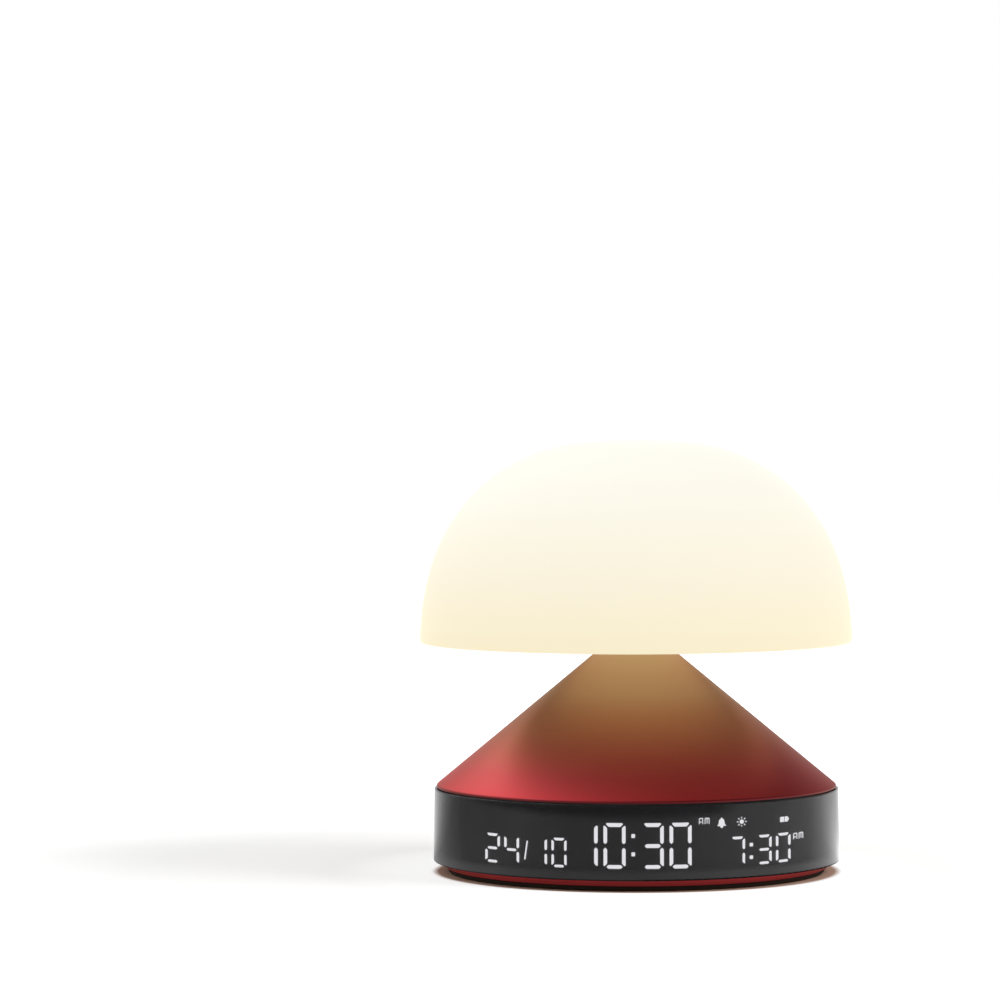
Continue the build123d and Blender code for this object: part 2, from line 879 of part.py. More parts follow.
def morning_sign(left, middle):
    """The two letters of the morning sign, built of plain strokes, the first open like a stencil."""
    s = mark_stroke
    low = middle - mark_height / 2
    right = left + mark_width
    high = low + mark_height
    bar_low = low + 0.3 * mark_height
    bar_end = right - s - mark_gap
    first = polygon([(left, low), (left + s, low), (left + s, bar_low), (bar_end, bar_low),
                     (bar_end, bar_low + s), (left + s, bar_low + s), (left + s, high - s),
                     (right - s, high - s), (right - s, low), (right, low), (right, high - s),
                     (right - s, high), (left + s, high), (left, high - s)])
    start = right + 1.8 * mark_gap
    wide = 1.15 * mark_width
    end = start + wide
    centre = (start + end) / 2
    second = polygon([(start, low), (start + s, low), (start + s, high - s), (centre - s / 2, high - s),
                      (centre - s / 2, low + s), (centre + s / 2, low + s), (centre + s / 2, high - s),
                      (end - s, high - s), (end - s, low), (end, low), (end, high - s), (end - s, high),
                      (start + s, high), (start, high - s)])
    return [first, second]


def upright(flat):
    return Plane.XZ * flat


def polygon(points):
    return make_face(Polyline(*[(x, z) for x, z in points], close=True))


def bell_sign(x, z, size):
    """A bell with its clapper showing below."""
    crown = Pos(x, z + 0.12 * size) * Circle(0.27 * size)
    skirt = polygon([(x - 0.27 * size, z + 0.12 * size), (x - 0.3 * size, z - 0.14 * size),
                     (x - 0.44 * size, z - 0.3 * size), (x + 0.44 * size, z - 0.3 * size),
                     (x + 0.3 * size, z - 0.14 * size), (x + 0.27 * size, z + 0.12 * size)])
    clapper = Pos(x, z - 0.36 * size) * Circle(0.14 * size)
    knob = Pos(x, z + 0.41 * size) * Circle(0.08 * size)
    return [crown + skirt + clapper + knob]


def sun_sign(x, z, size):
    """A round sun with eight short rays round it."""
    shapes = [Pos(x, z) * Circle(0.2 * size)]
    for turn in range(8):
        ray = Rectangle(0.15 * size, 0.065 * size)
        shapes.append(Pos(x, z) * Rot(0, 0, 45 * turn) * Pos(0.41 * size, 0) * ray)
    return shapes


def battery_sign(x, z, width, height):
    case = Pos(x, z) * Rectangle(width, height)
    tip = Pos(x + width / 2 + 0.14, z) * Rectangle(0.3, height * 0.4)
    gap = polygon([(x + 0.15, z + height), (x + 0.4, z + height), (x + 0.05, z - height),
                   (x - 0.2, z - height)])
    return [case + tip - gap]


def display_shapes():
    """Every lit shape of the display, as flat faces in local x and y."""
    outlines = small_digits("24", date_left) + small_digits("10", date_left + month_place * small_pitch)
    outlines += large_digits("10", clock_left) + large_digits("30", clock_left + minutes_place * large_pitch)
    outlines += small_digits("7", alarm_left)
    outlines += small_digits("30", alarm_left + alarm_minutes_place * small_pitch)
    outlines.append(slash_outline(date_left + slash_place * small_pitch, text_baseline + slash_rise))
    outlines += colon_outlines(clock_left + 2 * large_pitch + colon_lead, colon_low, colon_high, colon_dot)
    outlines += colon_outlines(alarm_left + small_pitch + colon_lead, alarm_colon_low, alarm_colon_high,
                               alarm_colon_dot)
    sign_height = text_baseline + sign_rise
    faces = [polygon(points) for points in outlines]
    faces += morning_sign(clock_left + morning_place * large_pitch, text_baseline + morning_rise)
    faces += morning_sign(alarm_left + alarm_morning_place * small_pitch, text_baseline + alarm_morning_rise)
    faces += bell_sign(clock_left + bell_place * large_pitch, sign_height, sign_size)
    faces += sun_sign(clock_left + sun_place * large_pitch, sign_height, sign_size)
    faces += battery_sign(battery_sign_x, text_baseline + battery_sign_rise, battery_sign_width,
                          battery_sign_height)
    return faces


def through_wall(flat, inner, outer):
    """A flat shape carried straight through the curved front wall."""
    prism = extrude(upright(flat), band_bottom_radius + 2)
    return prism & ring(inner, outer, rim_top, flange_low)


def make_display_carrier(shapes):
    wall = sector([
        (carrier_inner, rim_top + fit_gap),
        (carrier_outer, rim_top + fit_gap),
        (carrier_outer, flange_low - fit_gap),
        (carrier_inner, flange_low - fit_gap),
    ], display_half_angle, FRONT)
    cutters = [extrude(upright(offset(shape, slide_gap, kind=Kind.INTERSECTION)), band_bottom_radius)
               for shape in shapes]
    pockets = [display_lamp(shape, fit_gap) for shape in shapes]
    return wall - cutters - pockets


def make_display_segments(shapes):
    inner = carrier_inner + display_led_height + fit_gap
    outer = carrier_outer + segment_stand_out
    pieces = []
    for shape in shapes:
        pieces += through_wall(shape, inner, outer).solids()
    return group(pieces)


def display_board_span():
    return rim_top + 0.2, text_baseline + large_height + 1.3


def display_board_back():
    return carrier_inner - fit_gap - display_board_thickness


def make_display_board():
    low, high = display_board_span()
    outer = carrier_inner - fit_gap
    return sector([
        (display_board_back(), low),
        (outer, low),
        (outer, high),
        (display_board_back(), high),
    ], display_half_angle, FRONT)


def display_lamp(shape, margin=0.0):
    """The small lamp behind one light guide, or with a margin the pocket it sits in."""
    middle = shape.bounding_box().center()
    level = carrier_inner - fit_gap + display_led_height / 2
    turn = degrees(asin(middle.X / level))
    width = display_led_size + 2 * margin
    lamp = Pos(0, -level, middle.Y) * Box(width, display_led_height + 2 * margin, width)
    return Rot(0, 0, turn) * lamp


def make_display_leds(shapes):
    return group(display_lamp(shape) for shape in shapes)


def make_display_ribbon():
    """A flat cable from the curved board down to its connector on the main board."""
    back = display_board_back()
    start = sqrt(back ** 2 - (ribbon_width / 2) ** 2) - fit_gap / 2
    level = board_top + connector_height + ribbon_thickness / 2 + slide_gap
    high = level + ribbon_rise
    path = FilletPolyline((0, -start, high), (0, ribbon_rise - back, high),
                          (0, ribbon_reach - back - connector_depth, level), (0, ribbon_reach - back, level),
                          radius=ribbon_bend)
    flat = Rectangle(ribbon_width, ribbon_thickness)
    profile = Plane(origin=path @ 0, x_dir=(1, 0, 0), z_dir=(0, 1, 0)) * flat
    return sweep(profile, path=path)


# --- Electronics ---
def make_main_board():
    board = disc(board_radius, board_low, board_top)
    board -= disc(speaker_radius - speaker_board_lap, board_low - 1, board_top + 1, 0, speaker_y)
    for x, y in board_posts():
        board -= disc(screw_radius + pass_gap, board_low - 1, board_top + 1, x, y)
    for x, y in cradle_pegs():
        board -= disc(peg_radius + fit_gap, board_low - 1, board_top + 1, x, y)
    return board


def make_board_screws():
    return group(screw(x, y, board_top, board_thickness + screw_bite, up=False) for x, y in board_posts())


def around(inset, angle):
    """A place on the main board, this far in from its edge."""
    reach = board_radius - inset
    return reach * cos(radians(angle)), reach * sin(radians(angle))


def chip(x, y, size, height):
    half = size / 2
    return block(x - half, x + half, y - half, y + half, board_top, board_top + height)


def make_main_chips():
    processor = around(chip_inset, 18)
    amplifier = around(chip_inset, 162)
    memory = around(capacitor_inset, 60)
    chips = [
        chip(*processor, processor_size, chip_height),
        chip(*amplifier, amplifier_size, chip_height),
        chip(*memory, memory_size, chip_height),
        chip(0.0, plug_y, plug_size, plug_height),
        ribbon_connector(),
    ]
    for angle in (42, 138):
        chips.append(chip(*around(coil_inset, angle), coil_size, coil_height))
    high = board_top + capacitor_height
    for angle in (32, 148):
        chips.append(disc(capacitor_radius, board_top, high, *around(capacitor_inset, angle)))
    return group(chips)


def ribbon_connector():
    rear = ribbon_reach - display_board_back() + connector_rim
    half = ribbon_width / 2 + connector_rim
    return block(-half, half, rear - connector_depth, rear, board_top, board_top + connector_height)


def make_button_switches():
    low = board_low - switch_height
    return group(switch_body(x, y, low, button_travel, False) for x, y in button_spots())


def usb_board_back():
    """How far back the socket's board reaches, inside the band at its corners."""
    half = usb_board_width / 2
    return sqrt((band_inner_radius - 0.4) ** 2 - half ** 2)


def make_usb_board():
    half = usb_board_width / 2
    low = board_top - usb_board_thickness
    board = block(-half, half, board_radius + usb_board_gap, usb_board_back(), low, board_top)
    for x, y in usb_screw_spots():
        board -= disc(small_screw_radius + 0.15, low - 1, board_top + 1, x, y)
    return board


def usb_screw_spots():
    side = usb_width / 2 + small_head_radius
    y = board_radius + usb_board_gap + small_head_radius + 1.2
    return [(-side, y), (side, y)]


def make_usb_screws():
    length = usb_board_thickness + small_screw_bite
    return group(screw(x, y, board_top, length, up=False, shank=small_screw_radius, head=small_head_radius,
                       head_height=small_head_height) for x, y in usb_screw_spots())


def make_usb_socket():
    """A metal shell, open to the back, round a flat tongue."""
    mouth = band_bottom_radius - usb_recess
    back = mouth - usb_length
    shell_plane = Plane((0, back, usb_axis), x_dir=(-1, 0, 0), z_dir=(0, 1, 0))
    outer = extrude(shell_plane * RectangleRounded(usb_width, usb_height, usb_height / 2 - 0.1), usb_length)
    hollow_width = usb_width - 2 * usb_wall
    hollow_height = usb_height - 2 * usb_wall
    hollow = extrude(shell_plane * RectangleRounded(hollow_width, hollow_height, hollow_height / 2 - 0.1),
                     usb_length + 1)
    closed_back = block(-usb_width, usb_width, back - 1, back + 1.2, 0, cone_top)
    side = tongue_width / 2
    half = tongue_thickness / 2
    tongue = block(-side, side, back + 0.6, mouth - 0.8, usb_axis - half, usb_axis + half)
    return outer - (hollow - closed_back) + tongue


def make_usb_ribbon():
    front = board_radius - flex_overlap
    socket_back = band_bottom_radius - usb_recess - usb_length
    back = min(board_radius + usb_board_gap + flex_overlap, socket_back - fit_gap)
    return block(-flex_width / 2, flex_width / 2, front, back, board_top, board_top + flex_thickness)


# --- Battery ---
def cradle_pegs():
    x = battery_length / 2 - peg_inset
    y = battery_y + cradle_width / 2 - peg_radius - 0.8
    return [(-x, y), (x, y)]


def battery_axis():
    return board_top + cradle_floor + battery_radius + 0.05


def make_battery_cell():
    cell = Cylinder(battery_radius, battery_length - cap_height)
    end = (battery_length - cap_height) / 2
    cell += Pos(0, 0, end) * Cylinder(cap_radius, cap_height)
    cell += Pos(0, 0, -end) * Cylinder(cell_base_radius, cap_height)
    return Pos(0, battery_y, battery_axis()) * Rot(0, 90, 0) * cell


def make_battery_cradle():
    inner_end = battery_length / 2 + contact_thickness
    outer_end = inner_end + cradle_end
    half = cradle_width / 2
    top = battery_axis()
    cradle = block(-outer_end, outer_end, battery_y - half, battery_y + half, board_top, top)
    trough = Pos(0, battery_y, top) * Rot(0, 90, 0) * Cylinder(battery_radius + 0.05, 2 * inner_end)
    cradle -= trough
    for end in (-1, 1):
        inside = end * inner_end
        outside = end * outer_end
        cradle += block(min(inside, outside), max(inside, outside), battery_y - cradle_end_width / 2,
                        battery_y + cradle_end_width / 2, top - 1, top + cradle_end_rise)
    for x, y in cradle_pegs():
        cradle += disc(peg_radius, board_top - peg_depth, board_top + 0.5, x, y)
    return cradle


def make_battery_contacts():
    inner = battery_length / 2
    outer = inner + contact_thickness
    low = battery_axis() - battery_radius * 0.7
    tabs = []
    for low_x, high_x in ((-outer, -inner), (inner, outer)):
        tabs.append(block(low_x, high_x, battery_y - contact_width / 2, battery_y + contact_width / 2, low,
                          battery_axis() + contact_rise))
    return group(tabs)


# --- Speaker ---
def speaker_low():
    return cover_top + gasket_thickness


def make_speaker_gasket():
    return ring(speaker_radius - 2.6, speaker_radius, cover_top, speaker_low(), 0, speaker_y)


def make_speaker_frame():
    low = speaker_low()
    high = low + speaker_depth
    rim_high = low + speaker_rim_height
    basket = turned([
        (speaker_radius - speaker_flange, low),
        (speaker_radius, low),
        (speaker_radius, rim_high),
        (speaker_radius - speaker_rim_height, rim_high),
        (magnet_radius, high - speaker_skin),
        (magnet_radius, high),
        (0, high),
        (0, high - speaker_skin),
        (magnet_radius - speaker_skin, high - speaker_skin),
        (speaker_radius - speaker_flange, rim_high - 0.2),
    ])
    return Pos(0, speaker_y, 0) * basket


def make_speaker_cone():
    low = speaker_low()
    edge = speaker_radius - speaker_flange
    roll = edge - 1.2
    throat = low + speaker_depth * 0.5
    dish = throat - 1.5 * paper_thickness
    paper = turned([
        (edge, low + paper_thickness),
        (edge, low + 2 * paper_thickness),
        (roll, low + 2.2 * paper_thickness),
        (throat_radius, throat),
        (0, dish),
        (0, dish - 1.2 * paper_thickness),
        (throat_radius, throat - 1.2 * paper_thickness),
        (roll, low + paper_thickness),
    ])
    return Pos(0, speaker_y, 0) * paper


def make_speaker_magnet():
    low = speaker_low() + speaker_depth
    return disc(magnet_radius, low, low + magnet_height, 0, speaker_y)


def make_speaker_wires():
    """Two short leads from the speaker's basket over the board's edge to its pads."""
    edge = speaker_radius - speaker_board_lap
    start = edge - 6 * wire_radius
    level = board_top + wire_radius
    wires = []
    for side in (-3 * wire_radius, 3 * wire_radius):
        y = speaker_y + side
        path = FilletPolyline((start, y, level + 0.5), (edge, y, level + 2.3), (edge + 3, y, level + 0.3),
                              radius=4 * wire_radius)
        profile = Plane(origin=path @ 0, z_dir=path % 0) * Circle(wire_radius)
        wires.append(sweep(profile, path=path))
    return group(wires)


# --- Setting buttons ---
def button_signs():
    """The sign cut into each cap: menu, less, more, alarm and light."""
    size = button_radius * 1.1
    width = 0.12 * size
    menu = [Pos(0, step * 0.24 * size) * Rectangle(0.62 * size, width) for step in (-1, 0, 1)]
    less = [Rectangle(0.62 * size, width)]
    more = [Rectangle(0.62 * size, width) + Rectangle(width, 0.62 * size)]
    return [menu, less, more, bell_sign(0, 0, 0.8 * size), sun_sign(0, 0, 0.9 * size)]


def make_button(x, y, signs):
    flange_low_z = cover_top + fit_gap
    low = cover_low - button_proud
    cap = disc(button_radius, low, flange_low_z)
    cap = chamfer(cap.edges().filter_by(GeomType.CIRCLE).sort_by(Axis.Z)[0], button_edge)
    cap += disc(button_radius + button_lip, flange_low_z, flange_low_z + button_flange)
    for sign in signs:
        cap -= Pos(0, 0, low - 1) * extrude(Rot(180, 0, 0) * sign, -1 - sign_depth)
    return Pos(x, y, 0) * cap


def make_button_plunger(x, y):
    low = cover_top + fit_gap + button_flange
    high = board_low - switch_height + plunger_dip
    return disc(plunger_radius, low, high, x, y)


def make_parts():
    shapes = display_shapes()
    parts = {
        "dome_shade": make_dome_shade(),
        "dome_floor": make_dome_floor(),
        "shade_hub": make_shade_hub(),
        "floor_screws": make_floor_screws(),
        "heat_spreader": make_heat_spreader(),
        "led_board": make_led_board(),
        "leds": make_leds(),
        "led_screws": make_led_screws(),
        "press_stem": make_press_stem(),
        "stop_clip": make_stop_clip(),
        "stem_foot": make_stem_foot(),
        "snooze_plunger": make_snooze_plunger(),
        "guide_bush": make_guide_bush(),
        "return_spring": make_return_spring(),
        "inner_plate": make_inner_plate(),
        "plate_screws": make_plate_screws(),
        "switch_board": make_switch_board(),
        "snooze_switch": make_snooze_switch(),
        "led_cable": make_led_cable(),
        "cone_body": make_cone_body(),
        "cone_screws": make_cone_screws(),
        "display_band": make_display_band(),
        "base_ring": make_base_ring(),
        "base_screws": make_base_screws(),
        "foot_ring": make_foot_ring(),
        "bottom_cover": make_bottom_cover(),
        "chassis": make_chassis(),
        "display_carrier": make_display_carrier(shapes),
        "display_segments": make_display_segments(shapes),
        "display_board": make_display_board(),
        "display_leds": make_display_leds(shapes),
        "display_ribbon": make_display_ribbon(),
        "main_board": make_main_board(),
        "board_screws": make_board_screws(),
        "main_chips": make_main_chips(),
        "button_switches": make_button_switches(),
        "usb_board": make_usb_board(),
        "usb_screws": make_usb_screws(),
        "usb_socket": make_usb_socket(),
        "usb_ribbon": make_usb_ribbon(),
        "battery_cell": make_battery_cell(),
        "battery_cradle": make_battery_cradle(),
        "battery_contacts": make_battery_contacts(),
        "speaker_gasket": make_speaker_gasket(),
        "speaker_frame": make_speaker_frame(),
        "speaker_cone": make_speaker_cone(),
        "speaker_magnet": make_speaker_magnet(),
        "speaker_wires": make_speaker_wires(),
    }
    names = ("set", "less", "more", "alarm", "light")
    for name, (x, y), signs in zip(names, button_spots(), button_signs()):
        parts["button_" + name] = make_button(x, y, signs)
        parts["plunger_" + name] = make_button_plunger(x, y)
    return parts


os.makedirs("parts", exist_ok=True)
for node, shape in make_parts().items():
    export_step(shape, "parts/" + node + ".step")
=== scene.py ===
from math import cos, pi, sin

import bmesh
import bpy
from mathutils import Matrix, Vector


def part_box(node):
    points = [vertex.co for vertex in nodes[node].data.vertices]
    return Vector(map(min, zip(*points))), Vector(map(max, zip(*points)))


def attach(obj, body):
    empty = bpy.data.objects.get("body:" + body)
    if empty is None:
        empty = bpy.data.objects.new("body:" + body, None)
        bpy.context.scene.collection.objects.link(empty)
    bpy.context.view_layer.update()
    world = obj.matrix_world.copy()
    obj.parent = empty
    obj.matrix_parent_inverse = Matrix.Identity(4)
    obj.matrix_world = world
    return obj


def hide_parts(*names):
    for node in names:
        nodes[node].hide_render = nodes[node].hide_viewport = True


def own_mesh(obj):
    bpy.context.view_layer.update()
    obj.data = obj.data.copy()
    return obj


# A sunrise alarm clock: an opal shade on a red cone, over a smoked display band.
# Metres, +Z up, display towards -Y.

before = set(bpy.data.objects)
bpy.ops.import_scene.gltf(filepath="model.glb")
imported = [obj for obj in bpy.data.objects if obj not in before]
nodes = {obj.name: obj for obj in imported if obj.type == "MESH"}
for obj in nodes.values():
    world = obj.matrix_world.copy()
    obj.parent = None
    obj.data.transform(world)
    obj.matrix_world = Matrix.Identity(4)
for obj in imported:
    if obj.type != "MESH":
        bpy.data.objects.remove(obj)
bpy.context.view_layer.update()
scene = bpy.context.scene
scene.view_settings.view_transform = "Standard"
print("frame:", len(nodes), "nodes")


# a wire is one output of one tree, and sums on it read as Python
class Wire:
    def __init__(self, graph, socket):
        self.graph = graph
        self.socket = socket

    def sum(self, operation, *values):
        return self.graph.node("Math", {"operation": operation}, dict(enumerate(values)))

    def __add__(self, other):
        return self.sum("ADD", self, other)

    def __radd__(self, other):
        return self.sum("ADD", other, self)

    def __sub__(self, other):
        return self.sum("SUBTRACT", self, other)

    def __rsub__(self, other):
        return self.sum("SUBTRACT", other, self)

    def __mul__(self, other):
        return self.sum("MULTIPLY", self, other)

    def __rmul__(self, other):
        return self.sum("MULTIPLY", other, self)

    def __truediv__(self, other):
        return self.sum("DIVIDE", self, other)

    def __rtruediv__(self, other):
        return self.sum("DIVIDE", other, self)

    def __abs__(self):
        return self.sum("ABSOLUTE", self)


class Graph:
    family = "ShaderNode"
    shared = ("Math", "VectorMath", "CombineXYZ", "SeparateXYZ", "MapRange")

    # makes any node: its settings first, then the values or wires of its sockets
    def node(self, kind, settings=None, values=None, out=0):
        family = "ShaderNode" if kind in self.shared else self.family
        made = self.tree.nodes.new(family + kind)
        for key, value in (settings or {}).items():
            if key == "stops":
                self.fillRamp(made.color_ramp, value)
            else:
                setattr(made, key, value)
        for key, value in (values or {}).items():
            if isinstance(value, Wire):
                self.tree.links.new(value.socket, made.inputs[key])
            elif isinstance(value, list):
                for wire in reversed(value):
                    self.tree.links.new(wire.socket, made.inputs[key])
            else:
                made.inputs[key].default_value = value
        return Wire(self, made.outputs[out]) if made.outputs else made

    def fillRamp(self, ramp, stops):
        for _ in range(len(stops) - 2):
            ramp.elements.new(0.5)
        for element, (position, colour) in zip(ramp.elements, stops):
            element.position = position
            element.color = (*colour, 1.0)

    def between(self, wire, low, high):
        return self.node("MapRange", values={0: wire, 1: low, 2: high, 3: 0.0, 4: 1.0})


# one material, or the sky when the world is given
class Finish(Graph):
    def __init__(self, name, owner=None):
        self.owner = owner or bpy.data.materials.new(name)
        self.owner.use_nodes = True
        self.tree = self.owner.node_tree
        self.tree.nodes.clear()

    def place(self):
        return self.node("TexCoord", out="Object")

    def axis(self, index):
        return self.node("SeparateXYZ", values={0: self.place()}, out=index)

    def radius(self, centre=(0.0, 0.0)):
        shifted = self.node("Mapping", values={
            "Vector": self.place(), "Location": (-centre[0], -centre[1], 0.0), "Scale": (1.0, 1.0, 0.0)})
        return self.node("VectorMath", {"operation": "LENGTH"}, {0: shifted}, out="Value")

    def noise(self, size, detail=2.0, stretch=(1.0, 1.0, 1.0)):
        spot = self.node("Mapping", values={"Vector": self.place(), "Scale": stretch})
        return self.node("TexNoise", values={"Vector": spot, "Scale": 1.0 / size, "Detail": detail})

    def cells(self, size):
        return self.node("TexVoronoi", values={"Vector": self.place(), "Scale": 1.0 / size}, out="Distance")

    def stripes(self, wire, pitch):
        return self.node("Math", {"operation": "SINE"}, {0: wire * (2.0 * pi / pitch)}) * 0.5 + 0.5

    def ramp(self, wire, stops):
        return self.node("ValToRGB", {"stops": stops}, {0: wire})

    def mix(self, factor, one, other):
        return self.node("Mix", {"data_type": "RGBA"}, {0: factor, 6: one, 7: other}, out=2)

    def bump(self, wire, depth):
        return self.node("Bump", values={"Height": wire, "Distance": depth, "Strength": 1.0})

    # the fine grain that a finish's own values ask for
    def grain(self, look, detail=2.0):
        return self.bump(self.noise(look["grain"], detail), look["grainDepth"])

    def close(self, shader):
        kind = "OutputWorld" if isinstance(self.owner, bpy.types.World) else "OutputMaterial"
        self.node(kind, values={"Surface": shader})
        return self.owner

    def principled(self, values):
        return self.close(self.node("BsdfPrincipled", values=values))


# one Geometry Nodes tree: its named inputs are its sizes
class Recipe(Graph):
    family = "GeometryNode"

    def __init__(self, name, sizes):
        self.name = name
        self.sizes = sizes
        self.tree = bpy.data.node_groups.new(name, "GeometryNodeTree")
        face = self.tree.interface
        face.new_socket("Geometry", in_out="OUTPUT", socket_type="NodeSocketGeometry")
        self.identifiers = {}
        for label, value in sizes.items():
            kind = "NodeSocketInt" if isinstance(value, int) else "NodeSocketFloat"
            self.identifiers[label] = face.new_socket(label, in_out="INPUT", socket_type=kind).identifier
        self.inlet = self.tree.nodes.new("NodeGroupInput")

    def size(self, label):
        return Wire(self, self.inlet.outputs[label])

    def vector(self, x, y, z):
        return self.node("CombineXYZ", values={0: x, 1: y, 2: z})

    def moved(self, geometry, offset):
        return self.node("Transform", values={"Geometry": geometry, "Translation": offset})

    # ends the tree and turns what it makes into a plain mesh of its own
    def make(self, geometry, material):
        real = self.node("RealizeInstances", values={0: geometry})
        dressed = self.node("SetMaterial", values={"Geometry": real, "Material": material})
        outlet = self.tree.nodes.new("NodeGroupOutput")
        self.tree.links.new(dressed.socket, outlet.inputs[0])
        seed = added(self.name + "Seed", bpy.data.meshes.new(self.name + "Seed"))
        modifier = seed.modifiers.new(self.name, "NODES")
        modifier.node_group = self.tree
        for label, value in self.sizes.items():
            modifier[self.identifiers[label]] = value
        graph = bpy.context.evaluated_depsgraph_get()
        mesh = bpy.data.meshes.new_from_object(seed.evaluated_get(graph))
        bpy.data.objects.remove(seed)
        return added(self.name, mesh)


def added(name, data):
    obj = bpy.data.objects.new(name, data)
    scene.collection.objects.link(obj)
    return obj


def rgb(colour, scale=1.0):
    return (*[part * scale for part in colour], 1.0)


# in front, a little above the display
camera = {
    "place": (0.0, -1.2225, 0.1328),
    "pitch": 0.0240,  # down
    "yaw": 0.03087,  # to the left
    "roll": 0.003,
    "lens": 157.97,
    "sensor": 36.0,
    "nearest": 0.05,
    "furthest": 50.0,
}


def makeCamera():
    data = bpy.data.cameras.new("studioCamera")
    data.lens = camera["lens"]
    data.sensor_width = camera["sensor"]
    data.clip_start = camera["nearest"]
    data.clip_end = camera["furthest"]
    pitch, yaw, roll = camera["pitch"], camera["yaw"], camera["roll"]
    ahead = Vector((-sin(yaw) * cos(pitch), cos(yaw) * cos(pitch), -sin(pitch)))
    level = Vector((cos(yaw), sin(yaw), 0.0))
    upward = level.cross(ahead)
    side = cos(roll) * level - sin(roll) * upward
    head = sin(roll) * level + cos(roll) * upward
    turn = Matrix((side, head, -ahead)).transposed().to_4x4()
    obj = added("studioCamera", data)
    obj.matrix_world = Matrix.Translation(camera["place"]) @ turn
    scene.camera = obj


makeCamera()
print("camera set")


# the air is white to the eye; what polished surfaces see has a pale horizon, a dark ceiling and a softbox
air = {
    "daylight": 0.42,  # what it lends to matt surfaces
    "horizon": 0.55,
    "ceiling": 0.06,
    "horizonTop": 0.14,
    "ceilingFrom": 0.74,
    "softboxWay": (-0.52, 0.22, 0.83),  # overhead, to the left
    "softboxEdge": 0.62,  # cosine of the angle from its middle
    "softboxHeart": 0.97,
    "softboxLight": 1.75,
}

table = {
    "size": 8.0,
    "white": 0.88,
    "shade": (0.66, 0.44, 0.33),  # painted shade under the base, warmed as a painted red bounce from it
    "rimGlow": 0.5,
    "nearGlow": 0.235,
    "rimTo": 0.085,
    "shadowFrom": 0.0552,  # the deep shade under the band ends here
    "shadowTo": 0.0572,
    "farFrom": 0.14,
    "farTo": 0.5,
    "mirrorFrom": 0.055,  # polished surfaces see it pale from here outwards
    "mirrorTo": 0.070,
    "mirrorStops": [  # and this bright, by the way round from -X through the front and +X
        (0.0, 0.43), (0.04, 0.50), (0.07, 0.62), (0.16, 0.46), (0.26, 0.46), (0.375, 0.73), (0.464, 0.73),
        (0.556, 0.88), (0.585, 0.98), (0.61, 0.96), (0.65, 0.70), (0.72, 0.64), (0.79, 0.60), (0.845, 0.62),
        (0.875, 0.56), (0.89, 0.46), (0.91, 0.38), (0.925, 0.32), (0.96, 0.36), (1.0, 0.43),
    ],
    "mirrorScale": 1.5,
    "clothWay": (-0.53, -0.848, 0.0),  # a dark cloth lies in front, to the left
    "clothSpread": 0.28,  # cosine, from its sides to where it is all dark
    "clothFrom": 0.325,
    "clothTo": 0.363,
    "clothDark": 0.9,
}

lamps = {
    "mainLamp": {"place": (1.0, -0.35, 0.62), "size": 0.7, "power": 9.0, "aim": (0.0, 0.0, 0.05)},
    "sideLamp": {"place": (-0.9, -0.5, 0.6), "size": 0.6, "power": 3.0, "aim": (0.0, 0.0, 0.05)},
    "topLamp": {"place": (-0.1, 0.1, 1.4), "size": 0.9, "power": 4.0, "aim": (0.0, 0.0, 0.0)},
}


def makeAir():
    world = bpy.data.worlds.new("studioAir")
    scene.world = world
    sky = Finish("studioAir", world)
    way = sky.node("TexCoord", out="Generated")
    upward = sky.node("SeparateXYZ", values={0: way}, out=2)
    overhead = sky.between(upward, air["horizonTop"], air["ceilingFrom"])
    softboxWay = Vector(air["softboxWay"]).normalized()
    facing = sky.node("VectorMath", {"operation": "DOT_PRODUCT"}, {0: way, 1: softboxWay}, out="Value")
    softbox = sky.between(facing, air["softboxEdge"], air["softboxHeart"])
    ceiling = air["horizon"] - overhead * (air["horizon"] - air["ceiling"])
    mirrored = ceiling + softbox * (air["softboxLight"] - ceiling)
    seen = sky.node("LightPath", out="Is Camera Ray") + sky.node("LightPath", out="Is Transmission Ray")
    polished = sky.node("LightPath", out="Is Glossy Ray")
    daylight = air["daylight"]
    strength = daylight + seen * (1.0 - daylight) + polished * (mirrored - daylight)
    sky.close(sky.node("Background", values={"Color": rgb((1.0, 1.0, 1.0)), "Strength": strength}))


